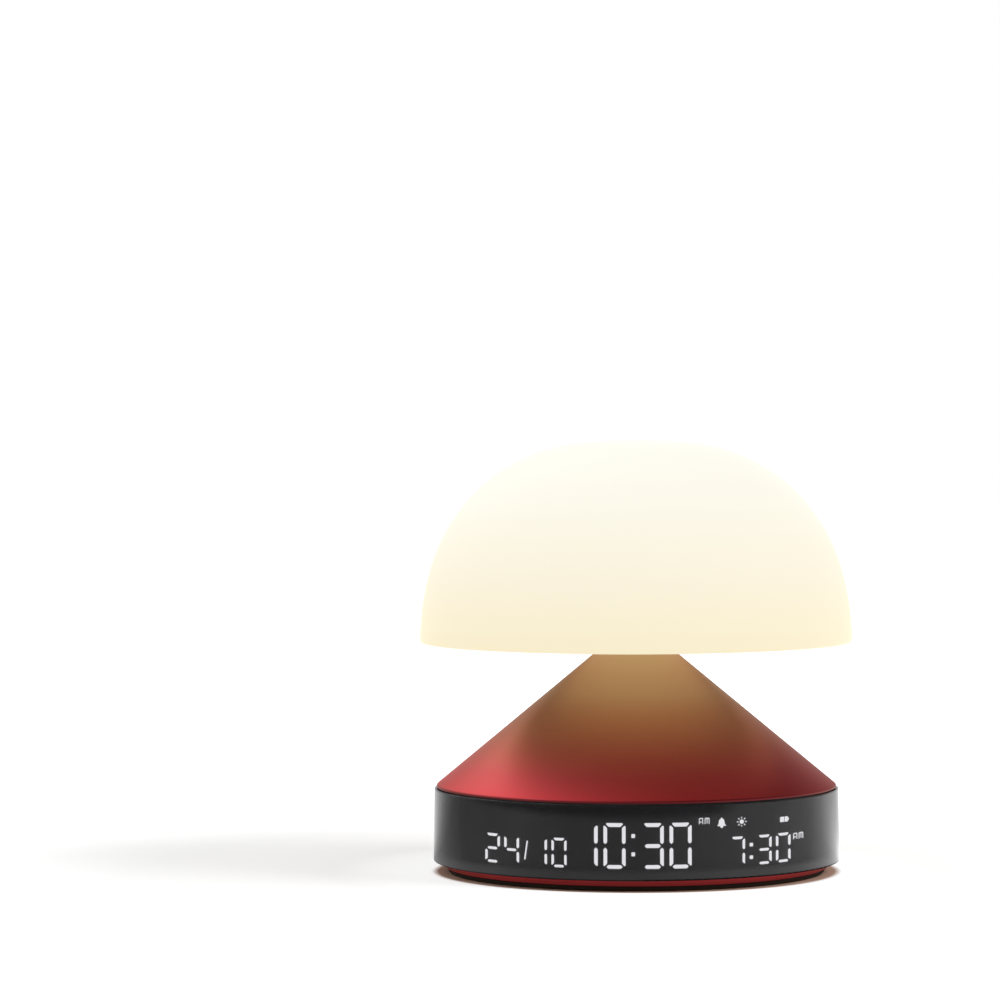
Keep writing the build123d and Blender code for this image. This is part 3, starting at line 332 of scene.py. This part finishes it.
# white to the eye, shaded under the base; polished surfaces see it brighter here and darker there
def tableWhite():
    white = Finish("tableWhite")
    out = white.radius()
    clearOf = white.between(out, table["shadowFrom"], table["shadowTo"])
    far = white.between(out, table["farFrom"], table["farTo"])
    past = white.between(out, table["shadowTo"], table["rimTo"])
    near = table["rimGlow"] + past * (table["nearGlow"] - table["rimGlow"])
    glow = clearOf * (near + far * (1.0 - table["nearGlow"]))
    way = white.node("VectorMath", {"operation": "NORMALIZE"}, {0: white.place()})
    clothWay = Vector(table["clothWay"]).normalized()
    facing = white.node("VectorMath", {"operation": "DOT_PRODUCT"}, {0: way, 1: clothWay}, out="Value")
    front = white.between(facing, 0.0, table["clothSpread"])
    cloth = white.between(out, table["clothFrom"], table["clothTo"])
    turn = white.node("TexGradient", {"gradient_type": "RADIAL"}, {"Vector": white.place()}, out="Fac")
    bright = white.ramp(turn, [(place, (level,) * 3) for place, level in table["mirrorStops"]])
    clear = white.between(out, table["mirrorFrom"], table["mirrorTo"])
    mirrored = bright * table["mirrorScale"] * clear * (1.0 - front * cloth * table["clothDark"])
    # the table's own colour carries the painted shade and red bounce under the base
    whiteWithShade = white.mix(clearOf, rgb(table["shade"]), rgb([table["white"]] * 3))
    matt = white.node("BsdfDiffuse", values={"Color": whiteWithShade})
    lit = white.node("AddShader", values={0: matt, 1: white.node("Emission", values={"Strength": glow})})
    pale = white.node("Emission", values={"Strength": mirrored})
    polished = white.node("LightPath", out="Is Glossy Ray")
    unlit = white.node("LightPath", out="Is Diffuse Ray")
    seen = white.node("MixShader", values={0: unlit, 1: lit, 2: matt})
    return white.close(white.node("MixShader", values={0: polished, 1: seen, 2: pale}))


def makeTable(white):
    half = table["size"] / 2
    mesh = bpy.data.meshes.new("studioTable")
    mesh.from_pydata([(-half, -half, 0.0), (half, -half, 0.0), (half, half, 0.0), (-half, half, 0.0)],
                     [], [(0, 1, 2, 3)])
    mesh.materials.append(white)
    added("studioTable", mesh)


def makeLamp(name, lamp):
    data = bpy.data.lights.new(name, "AREA")
    data.size = lamp["size"]
    data.energy = lamp["power"]
    obj = added(name, data)
    place = Vector(lamp["place"])
    turn = (place - Vector(lamp["aim"])).to_track_quat("Z", "Y")
    obj.matrix_world = Matrix.Translation(place) @ turn.to_matrix().to_4x4()
    obj.visible_glossy = False


makeAir()
makeTable(tableWhite())
for name, lamp in lamps.items():
    makeLamp(name, lamp)
print("studio lit")


def paint(material, *names):
    for name in names:
        for slot in nodes[name].material_slots:
            slot.material = material


softEdge = 0.00002  # over which one painted part turns into the next

opal = {
    "body": (0.06, 0.056, 0.049),
    "roughness": 0.42,
    "sheen": 0.12,
    "glow": 0.91,
    "cloudSize": 0.02,
    "cloud": 0.03,
    "grain": 0.0006,
    "grainDepth": 0.00001,
    "stops": [  # from the rim to the crown
        (0.0, (0.98, 0.88, 0.62)),
        (0.35, (0.99, 0.92, 0.74)),
        (0.7, (1.0, 0.97, 0.85)),
        (1.0, (1.0, 0.99, 0.90)),
    ],
}


def opalShade():
    shade = Finish("opalShade")
    rim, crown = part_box("dome_shade")
    rise = shade.between(shade.axis(2), rim.z, crown.z)
    milk = shade.noise(opal["cloudSize"], 3.0) * opal["cloud"]
    return shade.principled({
        "Base Color": rgb(opal["body"]),
        "Roughness": opal["roughness"] + milk,
        "Specular IOR Level": opal["sheen"],
        "Emission Color": shade.ramp(rise + milk - opal["cloud"] / 2, opal["stops"]),
        "Emission Strength": opal["glow"],
        "Normal": shade.grain(opal),
    })


lampFloor = {
    "body": (0.10, 0.093, 0.08),
    "roughness": 0.45,
    "cloudSize": 0.008,
    "cloudRough": 0.04,
    "grain": 0.0006,
    "grainDepth": 0.00001,
    "glow": 1.0,
    "stops": [  # from the neck to the edge
        (0.0, (0.79, 0.65, 0.42)),
        (0.2, (0.77, 0.63, 0.405)),
        (0.35, (0.61, 0.50, 0.31)),
        (0.52, (0.42, 0.335, 0.205)),
        (0.7, (0.21, 0.165, 0.10)),
        (0.85, (0.10, 0.078, 0.047)),
        (1.0, (0.07, 0.054, 0.032)),
    ],
}


def glowingFloor():
    floor = Finish("glowingFloor")
    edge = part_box("dome_floor")[1].x
    return floor.principled({
        "Base Color": rgb(lampFloor["body"]),
        "Roughness": lampFloor["roughness"] + floor.noise(lampFloor["cloudSize"]) * lampFloor["cloudRough"],
        "Emission Color": floor.ramp(floor.between(floor.radius(), 0.0, edge), lampFloor["stops"]),
        "Emission Strength": lampFloor["glow"],
        "Normal": floor.grain(lampFloor),
    })


anodised = {
    "roughness": 0.42,
    "cloudSize": 0.012,
    "cloudRough": 0.05,
    "edge": (1.0, 0.62, 0.52),  # tints what it mirrors at its outlines
    "coat": 0.45,
    "coatRoughness": 0.36,
    "grain": 0.00022,
    "grainDepth": 0.000004,
    # red anodising below; the gold towards the top is a painted glow of the shade's warm light
    "coneLampLightStops": [  # from its lower edge to its top
        (0.0, (0.60, 0.036, 0.05)),
        (0.15, (0.60, 0.068, 0.076)),
        (0.29, (0.60, 0.135, 0.095)),
        (0.43, (0.60, 0.225, 0.125)),
        (0.56, (0.60, 0.295, 0.16)),
        (0.70, (0.60, 0.395, 0.232)),
        (0.84, (0.60, 0.41, 0.25)),
        (1.0, (0.60, 0.46, 0.30)),
    ],
    "coneCloudSize": 0.015,
    "coneCloud": 0.02,
    "lipShade": (0.20, 0.012, 0.016),  # the cone's hanging edge, darkened: painted shade of the gap under it
    "lipFrom": 0.0004,
    "lipTo": 0.0008,
    "ring": (0.62, 0.042, 0.042),
    "ringCloudSize": 0.02,
    "ringShade": 0.86,
}


def anodisedMetal(name, colourOf):
    metal = Finish(name)
    cloud = metal.noise(anodised["cloudSize"], 3.0)
    return metal.principled({
        "Base Color": colourOf(metal),
        "Metallic": 1.0,
        "Specular Tint": rgb(anodised["edge"]),
        "Roughness": anodised["roughness"] + cloud * anodised["cloudRough"],
        "Coat Weight": anodised["coat"],
        "Coat Roughness": anodised["coatRoughness"],
        "Normal": metal.grain(anodised, 1.0),
    })


# the cone's red, with the shade's warm light painted on as gold towards its top
def coneColourAndLampLight(metal):
    low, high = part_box("cone_body")
    cloud = metal.noise(anodised["coneCloudSize"]) * anodised["coneCloud"] - anodised["coneCloud"] / 2
    height = metal.axis(2)
    # painted shade along the cone's hanging edge
    lipShadeMask = metal.between(height, low.z + anodised["lipFrom"], low.z + anodised["lipTo"])
    flankWithLampLight = metal.ramp(metal.between(height, low.z, high.z) + cloud, anodised["coneLampLightStops"])
    return metal.mix(lipShadeMask, rgb(anodised["lipShade"]), flankWithLampLight)


def ringColour(metal):
    cloud = metal.noise(anodised["ringCloudSize"])
    return metal.mix(cloud, rgb(anodised["ring"]), rgb(anodised["ring"], anodised["ringShade"]))


smoked = {
    "body": (0.010, 0.0095, 0.0105),
    "clear": 0.55,  # how much each face of the window hides
    "beside": 0.0008,  # from the display's end to where the backing starts
    "besideSoft": 0.009,
    "foot": 0.0018,  # backing along the band's lower edge
    "footSoft": 0.0016,
    "behind": -0.001,  # and all round the back, from here
    "ior": 1.49,
    "roughness": 0.03,
    "smudge": 0.03,
    "smudgeSize": 0.018,
    "smudgeFrom": 0.45,
    "smudgeTo": 0.75,
}


# smoked all through, and backed with black but for a window in front of the display
def smokedAcrylic():
    band = Finish("smokedAcrylic")
    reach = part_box("display_segments")[1].x + smoked["beside"]
    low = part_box("display_band")[0].z + smoked["foot"]
    window = 1.0 - band.between(abs(band.axis(0)), reach, reach + smoked["besideSoft"])
    window = window * band.between(band.axis(2), low, low + smoked["footSoft"])
    window = window * (1.0 - band.between(band.axis(1), smoked["behind"], 0.0))
    wiped = band.noise(smoked["smudgeSize"], 4.0, (1.0, 1.0, 0.5))
    smudge = band.between(wiped, smoked["smudgeFrom"], smoked["smudgeTo"])
    return band.principled({
        "Base Color": rgb(smoked["body"]),
        "Roughness": smoked["roughness"] + smudge * smoked["smudge"],
        "IOR": smoked["ior"],
        "Alpha": 1.0 - window * (1.0 - smoked["clear"]),
    })


lit = {
    "body": (0.5, 0.5, 0.53),
    "roughness": 0.35,
    "colour": (0.97, 0.955, 1.0),
    "glow": 3.9,
    "cloudSize": 0.0016,
    "shade": 0.9,
}


def litGuide():
    guide = Finish("litGuide")
    cloud = guide.noise(lit["cloudSize"])
    return guide.principled({
        "Base Color": rgb(lit["body"]),
        "Roughness": lit["roughness"],
        "Emission Color": guide.mix(cloud, rgb(lit["colour"]), rgb(lit["colour"], lit["shade"])),
        "Emission Strength": lit["glow"],
    })


caps = {
    "body": (0.042, 0.042, 0.046),
    "ink": (0.72, 0.72, 0.70),
    "signReach": 0.0034,
    "signFrom": 0.00012,  # up from the cap's face
    "roughness": 0.62,
    "inkSmoother": 0.1,
    "grain": 0.00025,
    "grainDepth": 0.000006,
}


# a setting button: rubbery cap, with its sunk sign filled white
def buttonCap(node):
    made = Finish(node + "Cap")
    low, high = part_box(node)
    centre = ((low.x + high.x) / 2, (low.y + high.y) / 2)
    face = low.z + caps["signFrom"]
    inside = 1.0 - made.between(made.radius(centre), caps["signReach"], caps["signReach"] + softEdge)
    ink = inside * made.between(made.axis(2), face, face + softEdge)
    return made.principled({
        "Base Color": made.mix(ink, rgb(caps["body"]), rgb(caps["ink"])),
        "Roughness": caps["roughness"] - ink * caps["inkSmoother"],
        "Normal": made.grain(caps),
    })


socket = {
    "shell": (0.70, 0.68, 0.64),
    "tongue": (0.02, 0.02, 0.022),
    "reach": 0.00335,  # of the tongue, to each side
    "half": 0.00042,
    "roughness": 0.24,
    "cloudSize": 0.002,
    "cloudRough": 0.1,
    "tongueRougher": 0.2,
    "brushed": 0.0003,
    "brushedWay": (1.0, 0.1, 1.0),
    "brushedDepth": 0.000004,
}


# nickel shell, with the moulded tongue inside it
def chargingSocket():
    made = Finish("chargingSocket")
    low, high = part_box("usb_socket")
    middle = (low.z + high.z) / 2
    level = 1.0 - made.between(abs(made.axis(2) - middle), socket["half"], socket["half"] + softEdge)
    inner = 1.0 - made.between(abs(made.axis(0)), socket["reach"], socket["reach"] + softEdge)
    tongue = level * inner
    shell = socket["roughness"] + made.noise(socket["cloudSize"]) * socket["cloudRough"]
    return made.principled({
        "Base Color": made.mix(tongue, rgb(socket["shell"]), rgb(socket["tongue"])),
        "Metallic": 1.0 - tongue,
        "Roughness": shell + tongue * socket["tongueRougher"],
        "Normal": made.bump(made.noise(socket["brushed"], 2.0, socket["brushedWay"]), socket["brushedDepth"]),
    })


cell = {
    "film": (0.035, 0.15, 0.42),
    "filmShade": 0.85,
    "cloudSize": 0.01,
    "steel": (0.62, 0.61, 0.58),
    "cap": 0.001,  # how far the cap stands out
    "filmEnd": 0.0003,
    "wrinkle": 0.003,
    "wrinkleWay": (4.0, 1.0, 1.0),
    "wrinkleDepth": 0.00002,
    "wrinkleRough": 0.08,
    "roughness": 0.28,
}


# shrink film round the cell, bare steel at its ends
def cellSleeve():
    made = Finish("cellSleeve")
    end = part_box("battery_cell")[1].x - cell["cap"] - cell["filmEnd"]
    bare = made.between(abs(made.axis(0)), end, end + softEdge)
    wrinkle = made.noise(cell["wrinkle"], 3.0, cell["wrinkleWay"])
    sleeve = made.mix(made.noise(cell["cloudSize"]), rgb(cell["film"]), rgb(cell["film"], cell["filmShade"]))
    return made.principled({
        "Base Color": made.mix(bare, sleeve, rgb(cell["steel"])),
        "Metallic": bare,
        "Roughness": cell["roughness"] + wrinkle * cell["wrinkleRough"],
        "Normal": made.bump(wrinkle, cell["wrinkleDepth"]),
    })


film = {
    "body": (0.46, 0.19, 0.03),
    "copper": (0.62, 0.30, 0.10),
    "pitch": 0.0008,
    "lineFrom": 0.45,
    "lineTo": 0.6,
    "lineDepth": 0.00001,
    "roughness": 0.3,
    "cloudSize": 0.002,
    "cloudRough": 0.06,
}


# amber film over copper lines
def flatFilm():
    made = Finish("ribbonFilm")
    lines = made.between(made.stripes(made.axis(0), film["pitch"]), film["lineFrom"], film["lineTo"])
    return made.principled({
        "Base Color": made.mix(lines, rgb(film["body"]), rgb(film["copper"])),
        "Roughness": film["roughness"] + made.noise(film["cloudSize"]) * film["cloudRough"],
        "Normal": made.bump(lines, film["lineDepth"]),
    })


paper = {
    "dark": (0.025, 0.025, 0.026),
    "pale": (0.05, 0.049, 0.048),
    "fibre": 0.0008,
    "ribPitch": 0.0018,
    "ribHeight": 0.5,
    "ribRough": 0.05,
    "felt": 0.0004,
    "feltDepth": 0.00004,
    "roughness": 0.78,
}


# felted black paper, ribbed round its middle
def conePaper():
    made = Finish("conePaper")
    low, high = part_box("speaker_cone")
    out = made.radius(((low.x + high.x) / 2, (low.y + high.y) / 2))
    ribs = made.stripes(out, paper["ribPitch"]) * paper["ribHeight"]
    return made.principled({
        "Base Color": made.mix(made.noise(paper["fibre"], 4.0), rgb(paper["dark"]), rgb(paper["pale"])),
        "Roughness": paper["roughness"] + ribs * paper["ribRough"],
        "Normal": made.bump(made.noise(paper["felt"], 4.0) + ribs, paper["feltDepth"]),
    })


foam = {
    "dark": (0.02, 0.02, 0.021),
    "pale": (0.06, 0.06, 0.062),
    "pore": 0.0005,
    "poreDepth": 0.00008,
    "poreSmoother": 0.05,
    "roughness": 0.9,
}


# open foam, all small cells
def gasketFoam():
    made = Finish("gasketFoam")
    pores = made.cells(foam["pore"])
    return made.principled({
        "Base Color": made.mix(pores, rgb(foam["dark"]), rgb(foam["pale"])),
        "Roughness": foam["roughness"] - pores * foam["poreSmoother"],
        "Normal": made.bump(pores, foam["poreDepth"]),
    })


housing = {
    "white": (0.84, 0.83, 0.80),
    "shade": (0.74, 0.73, 0.70),
    "cloudSize": 0.001,
    "roughness": 0.4,
    "scuff": 0.0007,
    "scuffRough": 0.06,
    "grain": 0.0002,
    "grainDepth": 0.000004,
}


# white lamp housings
def lampHousing():
    made = Finish("lampHousing")
    cloud = made.noise(housing["cloudSize"])
    return made.principled({
        "Base Color": made.mix(cloud, rgb(housing["white"]), rgb(housing["shade"])),
        "Roughness": housing["roughness"] + made.noise(housing["scuff"]) * housing["scuffRough"],
        "Normal": made.grain(housing),
    })


keys = ("set", "less", "more", "alarm", "light")
skinClouds = {"size": 0.01, "rough": 0.08, "shade": 0.82}
skins = {
    "blackMoulding": {
        "colour": (0.018, 0.018, 0.02), "roughness": 0.5, "grain": 0.0004, "grainDepth": 0.000006,
        "nodes": ("chassis", "display_carrier", "battery_cradle")},
    "coverMoulding": {
        "colour": (0.028, 0.028, 0.030), "roughness": 0.56, "grain": 0.0005, "grainDepth": 0.000012,
        "nodes": ("bottom_cover",)},
    "whiteMoulding": {
        "colour": (0.78, 0.78, 0.76), "roughness": 0.5, "grain": 0.0004, "grainDepth": 0.000006,
        "nodes": ("shade_hub", "stem_foot", "inner_plate", *["plunger_" + key for key in keys])},
    "naturalAcetal": {
        "colour": (0.74, 0.72, 0.66), "roughness": 0.34, "grain": 0.0006, "grainDepth": 0.000004,
        "nodes": ("guide_bush",)},
    "chipMoulding": {
        "colour": (0.022, 0.022, 0.023), "roughness": 0.5, "grain": 0.00015, "grainDepth": 0.000006,
        "nodes": ("main_chips", "button_switches", "snooze_switch")},
    "plungerMoulding": {
        "colour": (0.05, 0.05, 0.055), "roughness": 0.45, "grain": 0.0004, "grainDepth": 0.000006,
        "nodes": ("snooze_plunger",)},
    "cableSleeve": {
        "colour": (0.78, 0.77, 0.74), "roughness": 0.4, "grain": 0.0009, "grainDepth": 0.00001,
        "nodes": ("led_cable", "speaker_wires")},
}


# a moulded skin: its colour clouds a little, and it has a fine grain
def skin(name, look):
    made = Finish(name)
    cloud = made.noise(skinClouds["size"], 3.0)
    return made.principled({
        "Base Color": made.mix(cloud, rgb(look["colour"]), rgb(look["colour"], skinClouds["shade"])),
        "Roughness": look["roughness"] + cloud * skinClouds["rough"],
        "Normal": made.grain(look),
    })


tracks = {
    "pitch": 0.0016,
    "lineFrom": 0.86,
    "lineTo": 0.94,
    "patchSize": 0.011,  # in which the tracks run one way
    "patchFrom": 0.5,
    "patchTo": 0.505,
    "bareSize": 0.007,  # where there are none
    "bareFrom": 0.42,
    "bareTo": 0.43,
    "depth": 0.00003,
    "rough": 0.06,
    "roughness": 0.32,
}
boards = {
    "greenMask": {
        "mask": (0.018, 0.105, 0.045), "track": (0.05, 0.21, 0.085),
        "nodes": ("main_board", "display_board", "switch_board", "usb_board")},
    "whiteMask": {
        "mask": (0.80, 0.81, 0.79), "track": (0.70, 0.71, 0.69),
        "nodes": ("led_board",)},
}


# solder mask over copper tracks, which run one way or the other in patches
def circuitBoard(name, look):
    made = Finish(name)
    across, along = [made.between(made.stripes(made.axis(way), tracks["pitch"]), tracks["lineFrom"],
                                  tracks["lineTo"]) for way in (0, 1)]
    patch = made.between(made.noise(tracks["patchSize"], 0.0), tracks["patchFrom"], tracks["patchTo"])
    bare = made.between(made.noise(tracks["bareSize"], 0.0), tracks["bareFrom"], tracks["bareTo"])
    lines = (across * patch + along * (1.0 - patch)) * bare
    return made.principled({
        "Base Color": made.mix(lines, rgb(look["mask"]), rgb(look["track"])),
        "Roughness": tracks["roughness"] + lines * tracks["rough"],
        "Normal": made.bump(lines, tracks["depth"]),
    })


drawn = {
    "pitch": 0.00018,
    "along": (0.08, 1.0, 1.0),
    "depth": 0.000006,
    "rough": 0.12,
    "cloudSize": 0.006,
    "shade": 0.88,
}
metals = {
    "turnedAluminium": {
        "colour": (0.74, 0.75, 0.77), "roughness": 0.3, "turned": True,
        "nodes": ("heat_spreader", "press_stem")},
    "platedSteel": {
        "colour": (0.60, 0.60, 0.58), "roughness": 0.34, "turned": False,
        "nodes": ("floor_screws", "led_screws", "plate_screws", "cone_screws", "base_screws", "board_screws",
                  "usb_screws")},
    "springSteel": {
        "colour": (0.42, 0.42, 0.43), "roughness": 0.3, "turned": False,
        "nodes": ("return_spring", "stop_clip")},
    "nickelStrip": {
        "colour": (0.70, 0.68, 0.63), "roughness": 0.24, "turned": False,
        "nodes": ("battery_contacts",)},
    "magnetPlate": {
        "colour": (0.40, 0.40, 0.41), "roughness": 0.36, "turned": True,
        "nodes": ("speaker_frame", "speaker_magnet")},
}


# turned or drawn metal: fine lines round the upright axis, or along one way
def drawnMetal(name, look):
    made = Finish(name)
    if look["turned"]:
        rings = made.radius() / drawn["pitch"]
        lines = made.node("TexNoise", {"noise_dimensions": "1D"}, {"W": rings, "Scale": 1.0})
    else:
        lines = made.noise(drawn["pitch"], 2.0, drawn["along"])
    cloud = made.noise(drawn["cloudSize"], 3.0)
    return made.principled({
        "Base Color": made.mix(cloud, rgb(look["colour"]), rgb(look["colour"], drawn["shade"])),
        "Metallic": 1.0,
        "Roughness": look["roughness"] + lines * drawn["rough"],
        "Normal": made.bump(lines, drawn["depth"]),
    })


paint(opalShade(), "dome_shade")
paint(glowingFloor(), "dome_floor")
paint(anodisedMetal("redCone", coneColourAndLampLight), "cone_body")
paint(anodisedMetal("redRing", ringColour), "base_ring")
paint(smokedAcrylic(), "display_band")
paint(litGuide(), "display_segments")
paint(chargingSocket(), "usb_socket")
paint(cellSleeve(), "battery_cell")
paint(flatFilm(), "display_ribbon", "usb_ribbon")
paint(conePaper(), "speaker_cone")
paint(gasketFoam(), "speaker_gasket")
paint(lampHousing(), "leds", "display_leds")
for key in keys:
    paint(buttonCap("button_" + key), "button_" + key)
for makeFinish, looks in ((skin, skins), (circuitBoard, boards), (drawnMetal, metals)):
    for name, look in looks.items():
        paint(makeFinish(name, look), *look["nodes"])
print("finishes on")


sharpAngle = 0.5  # radians; edges that turn more than this stay crisp


def smooth(mesh):
    mesh.shade_smooth()
    mesh.set_sharp_from_angle(angle=sharpAngle)


# a ring turned from a closed outline of (radius, height) points
def turnedRing(name, outline, steps, material):
    mesh = bpy.data.meshes.new(name)
    count = len(outline)
    points = []
    for step in range(steps):
        angle = 2.0 * pi * step / steps
        points += [(radius * cos(angle), radius * sin(angle), height) for radius, height in outline]
    faces = []
    for step in range(steps):
        here, there = step * count, (step + 1) % steps * count
        for side in range(count):
            after = (side + 1) % count
            faces.append((here + side, there + side, there + after, here + after))
    mesh.from_pydata(points, [], faces)
    mesh.materials.append(material)
    smooth(mesh)
    return added(name, mesh)


foot = {
    "width": 0.0062,
    "edge": 0.00025,
    "rim": 0.0010,  # plain border each side of the tread
    "tread": 0.0003,  # how far the tread is sunk
    "steps": 256,
    "studs": 150,  # in each row
    "rows": 3,
    "sideRoom": 0.4,  # of a row's width, beside the outer rows
    "studRadius": 0.00052,
    "studTaper": 0.8,
    "studHeight": 1.2,  # in depths of the tread
    "studSides": 9,
    # both tones are warmed brown as a painted red reflection of the ring above; the lighter patches are dust
    "black": (0.020, 0.012, 0.008),
    "dustyWithBounce": (0.034, 0.021, 0.014),
    "dustSize": 0.004,
    "dustRough": 0.2,
    "roughness": 0.62,
    "sheen": 0.15,
    "grain": 0.0003,
    "grainDepth": 0.00001,
}


def footRubber():
    made = Finish("footRubber")
    dust = made.noise(foot["dustSize"], 4.0)
    return made.principled({
        "Base Color": made.mix(dust, rgb(foot["black"]), rgb(foot["dustyWithBounce"])),
        "Roughness": foot["roughness"] + dust * foot["dustRough"],
        "Specular IOR Level": foot["sheen"],
        "Normal": made.grain(foot),
    })


# rubber ring under the base: a plain border each side of a sunk tread
def makeFoot(rubber):
    low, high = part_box("foot_ring")
    outer, top = high.x, high.z
    inner = outer - foot["width"]
    edge, rim, tread = foot["edge"], foot["rim"], foot["tread"]
    outline = [
        (outer, top), (inner, top), (inner, edge), (inner + edge, 0.0), (inner + rim, 0.0),
        (inner + rim + edge, tread), (outer - rim - edge, tread), (outer - rim, 0.0),
        (outer - edge, 0.0), (outer, edge),
    ]
    ring = turnedRing("footRing", outline, foot["steps"], rubber)
    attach(ring, "base")
    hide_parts("foot_ring")


# rows of small studs that stand in the tread
def makeStuds(rubber):
    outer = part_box("foot_ring")[1].x
    middle = outer - foot["width"] / 2
    spacing = (foot["width"] - 2.0 * foot["rim"]) / (foot["rows"] + foot["sideRoom"])
    studs = Recipe("footStuds", {
        "Count": foot["studs"], "Sides": foot["studSides"], "Stud radius": foot["studRadius"],
        "Taper": foot["studTaper"], "Depth": foot["tread"] * foot["studHeight"],
        "Middle": middle, "Spacing": spacing})
    stud = studs.node("MeshCone", {"fill_type": "TRIANGLE_FAN"}, {
        "Vertices": studs.size("Sides"), "Radius Top": studs.size("Stud radius"),
        "Radius Bottom": studs.size("Stud radius") * studs.size("Taper"), "Depth": studs.size("Depth")})
    rows = []
    for row in range(foot["rows"]):
        shift = studs.size("Spacing") * (row - (foot["rows"] - 1) / 2)
        circle = studs.node("MeshCircle", values={"Vertices": studs.size("Count"),
                                                  "Radius": studs.size("Middle") + shift})
        rows.append(studs.node("InstanceOnPoints", values={"Points": circle, "Instance": stud}))
    made = studs.make(studs.node("JoinGeometry", values={0: rows}), rubber)
    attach(made, "base")


contact = {
    "count": 12,
    "pitch": 0.0005,
    "width": 0.00026,
    "length": 0.0032,
    "thickness": 0.00004,
    "setback": 0.0012,  # from the socket's mouth
    "tongueHalf": 0.00035,
    "gold": (0.86, 0.60, 0.24),
    "deepGold": (0.80, 0.52, 0.19),
    "cloudSize": 0.0008,
    "roughness": 0.22,
    "scuffSize": 0.0004,
    "scuffRough": 0.1,
}


def goldStrip():
    made = Finish("goldStrip")
    cloud = made.noise(contact["cloudSize"])
    return made.principled({
        "Base Color": made.mix(cloud, rgb(contact["gold"]), rgb(contact["deepGold"])),
        "Metallic": 1.0,
        "Roughness": contact["roughness"] + made.noise(contact["scuffSize"]) * contact["scuffRough"],
    })


# two rows of gold strips on the socket's tongue
def makeContacts(gold):
    low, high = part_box("usb_socket")
    level = (low.z + high.z) / 2
    front = high.y - contact["setback"] - contact["length"] / 2
    strips = Recipe("socketContacts", {
        "Count": contact["count"], "Pitch": contact["pitch"], "Width": contact["width"],
        "Length": contact["length"], "Thickness": contact["thickness"], "Lift": contact["tongueHalf"]})
    strip = strips.node("MeshCube", values={
        "Size": strips.vector(strips.size("Width"), strips.size("Length"), strips.size("Thickness"))})
    start = (strips.size("Count") - 1.0) * strips.size("Pitch") * -0.5
    rows = []
    for side in (-1.0, 1.0):
        line = strips.node("MeshLine", values={
            "Count": strips.size("Count"), "Offset": strips.vector(strips.size("Pitch"), 0.0, 0.0),
            "Start Location": strips.vector(start, front, strips.size("Lift") * side + level)})
        rows.append(strips.node("InstanceOnPoints", values={"Points": line, "Instance": strip}))
    made = strips.make(strips.node("JoinGeometry", values={0: rows}), gold)
    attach(made, "base")


lens = {
    "outerCount": 16,
    "innerCount": 6,
    "innerCircle": 0.0055,
    "half": 0.0015,  # of a lamp's width
    "radius": 0.00115,
    "rise": 0.00022,
    "segments": 16,
    "rings": 8,
    "yellow": (0.88, 0.66, 0.16),
    "deepYellow": (0.80, 0.56, 0.11),
    "light": (1.0, 0.80, 0.42),
    "deepLight": (1.0, 0.74, 0.34),
    "glow": 0.6,
    "speckleSize": 0.0002,
    "roughness": 0.36,
    "speckleRough": 0.1,
}


def phosphor():
    made = Finish("phosphor")
    speckle = made.noise(lens["speckleSize"])
    return made.principled({
        "Base Color": made.mix(speckle, rgb(lens["yellow"]), rgb(lens["deepYellow"])),
        "Roughness": lens["roughness"] + speckle * lens["speckleRough"],
        "Emission Color": made.mix(speckle, rgb(lens["light"]), rgb(lens["deepLight"])),
        "Emission Strength": lens["glow"],
    })


# a low yellow lens on each lamp of the two circles
def makeLenses(yellow):
    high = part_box("leds")[1]
    drops = Recipe("lampLenses", {
        "Outer count": lens["outerCount"], "Outer circle": high.x - lens["half"],
        "Inner count": lens["innerCount"], "Inner circle": lens["innerCircle"],
        "Lens radius": lens["radius"], "Rise": lens["rise"],
        "Segments": lens["segments"], "Rings": lens["rings"]})
    ball = drops.node("MeshUVSphere", values={
        "Segments": drops.size("Segments"), "Rings": drops.size("Rings"),
        "Radius": drops.size("Lens radius")})
    flat = drops.node("Transform", values={"Geometry": ball, "Scale": drops.vector(
        1.0, 1.0, drops.size("Rise") / drops.size("Lens radius"))})
    rings = []
    for circle in ("Outer", "Inner"):
        points = drops.node("MeshCircle", values={"Vertices": drops.size(circle + " count"),
                                                  "Radius": drops.size(circle + " circle")})
        rings.append(drops.node("InstanceOnPoints", values={"Points": points, "Instance": flat}))
    made = drops.make(drops.moved(drops.node("JoinGeometry", values={0: rings}), (0.0, 0.0, high.z)), yellow)
    made.data.shade_smooth()
    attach(made, "shade")


giving = {
    "travel": 0.0008,  # how far the shade goes down
    "weld": 0.000001,  # corners nearer than this are one
    "pieces": {
        "returnSpring": ("return_spring", "spring_steel"),
        "lampCable": ("led_cable", "cable_white"),
    },
}


# a piece of the base whose upper end, in the clock, follows the shade down: a copy of its node,
# welded and smoothed, shown in its place
def makeGiving(name, node):
    mesh = nodes[node].data.copy()
    welded = bmesh.new()
    welded.from_mesh(mesh)
    bmesh.ops.remove_doubles(welded, verts=welded.verts, dist=giving["weld"])
    welded.to_mesh(mesh)
    welded.free()
    mesh.materials.clear()
    mesh.materials.append(nodes[node].material_slots[0].material)
    smooth(mesh)
    obj = added(name, mesh)
    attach(obj, "base")
    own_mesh(obj)
    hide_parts(node)


for name, (node, slot) in giving["pieces"].items():
    makeGiving(name, node)
rubber = footRubber()
makeFoot(rubber)
makeStuds(rubber)
makeContacts(goldStrip())
makeLenses(phosphor())
print("pieces made")
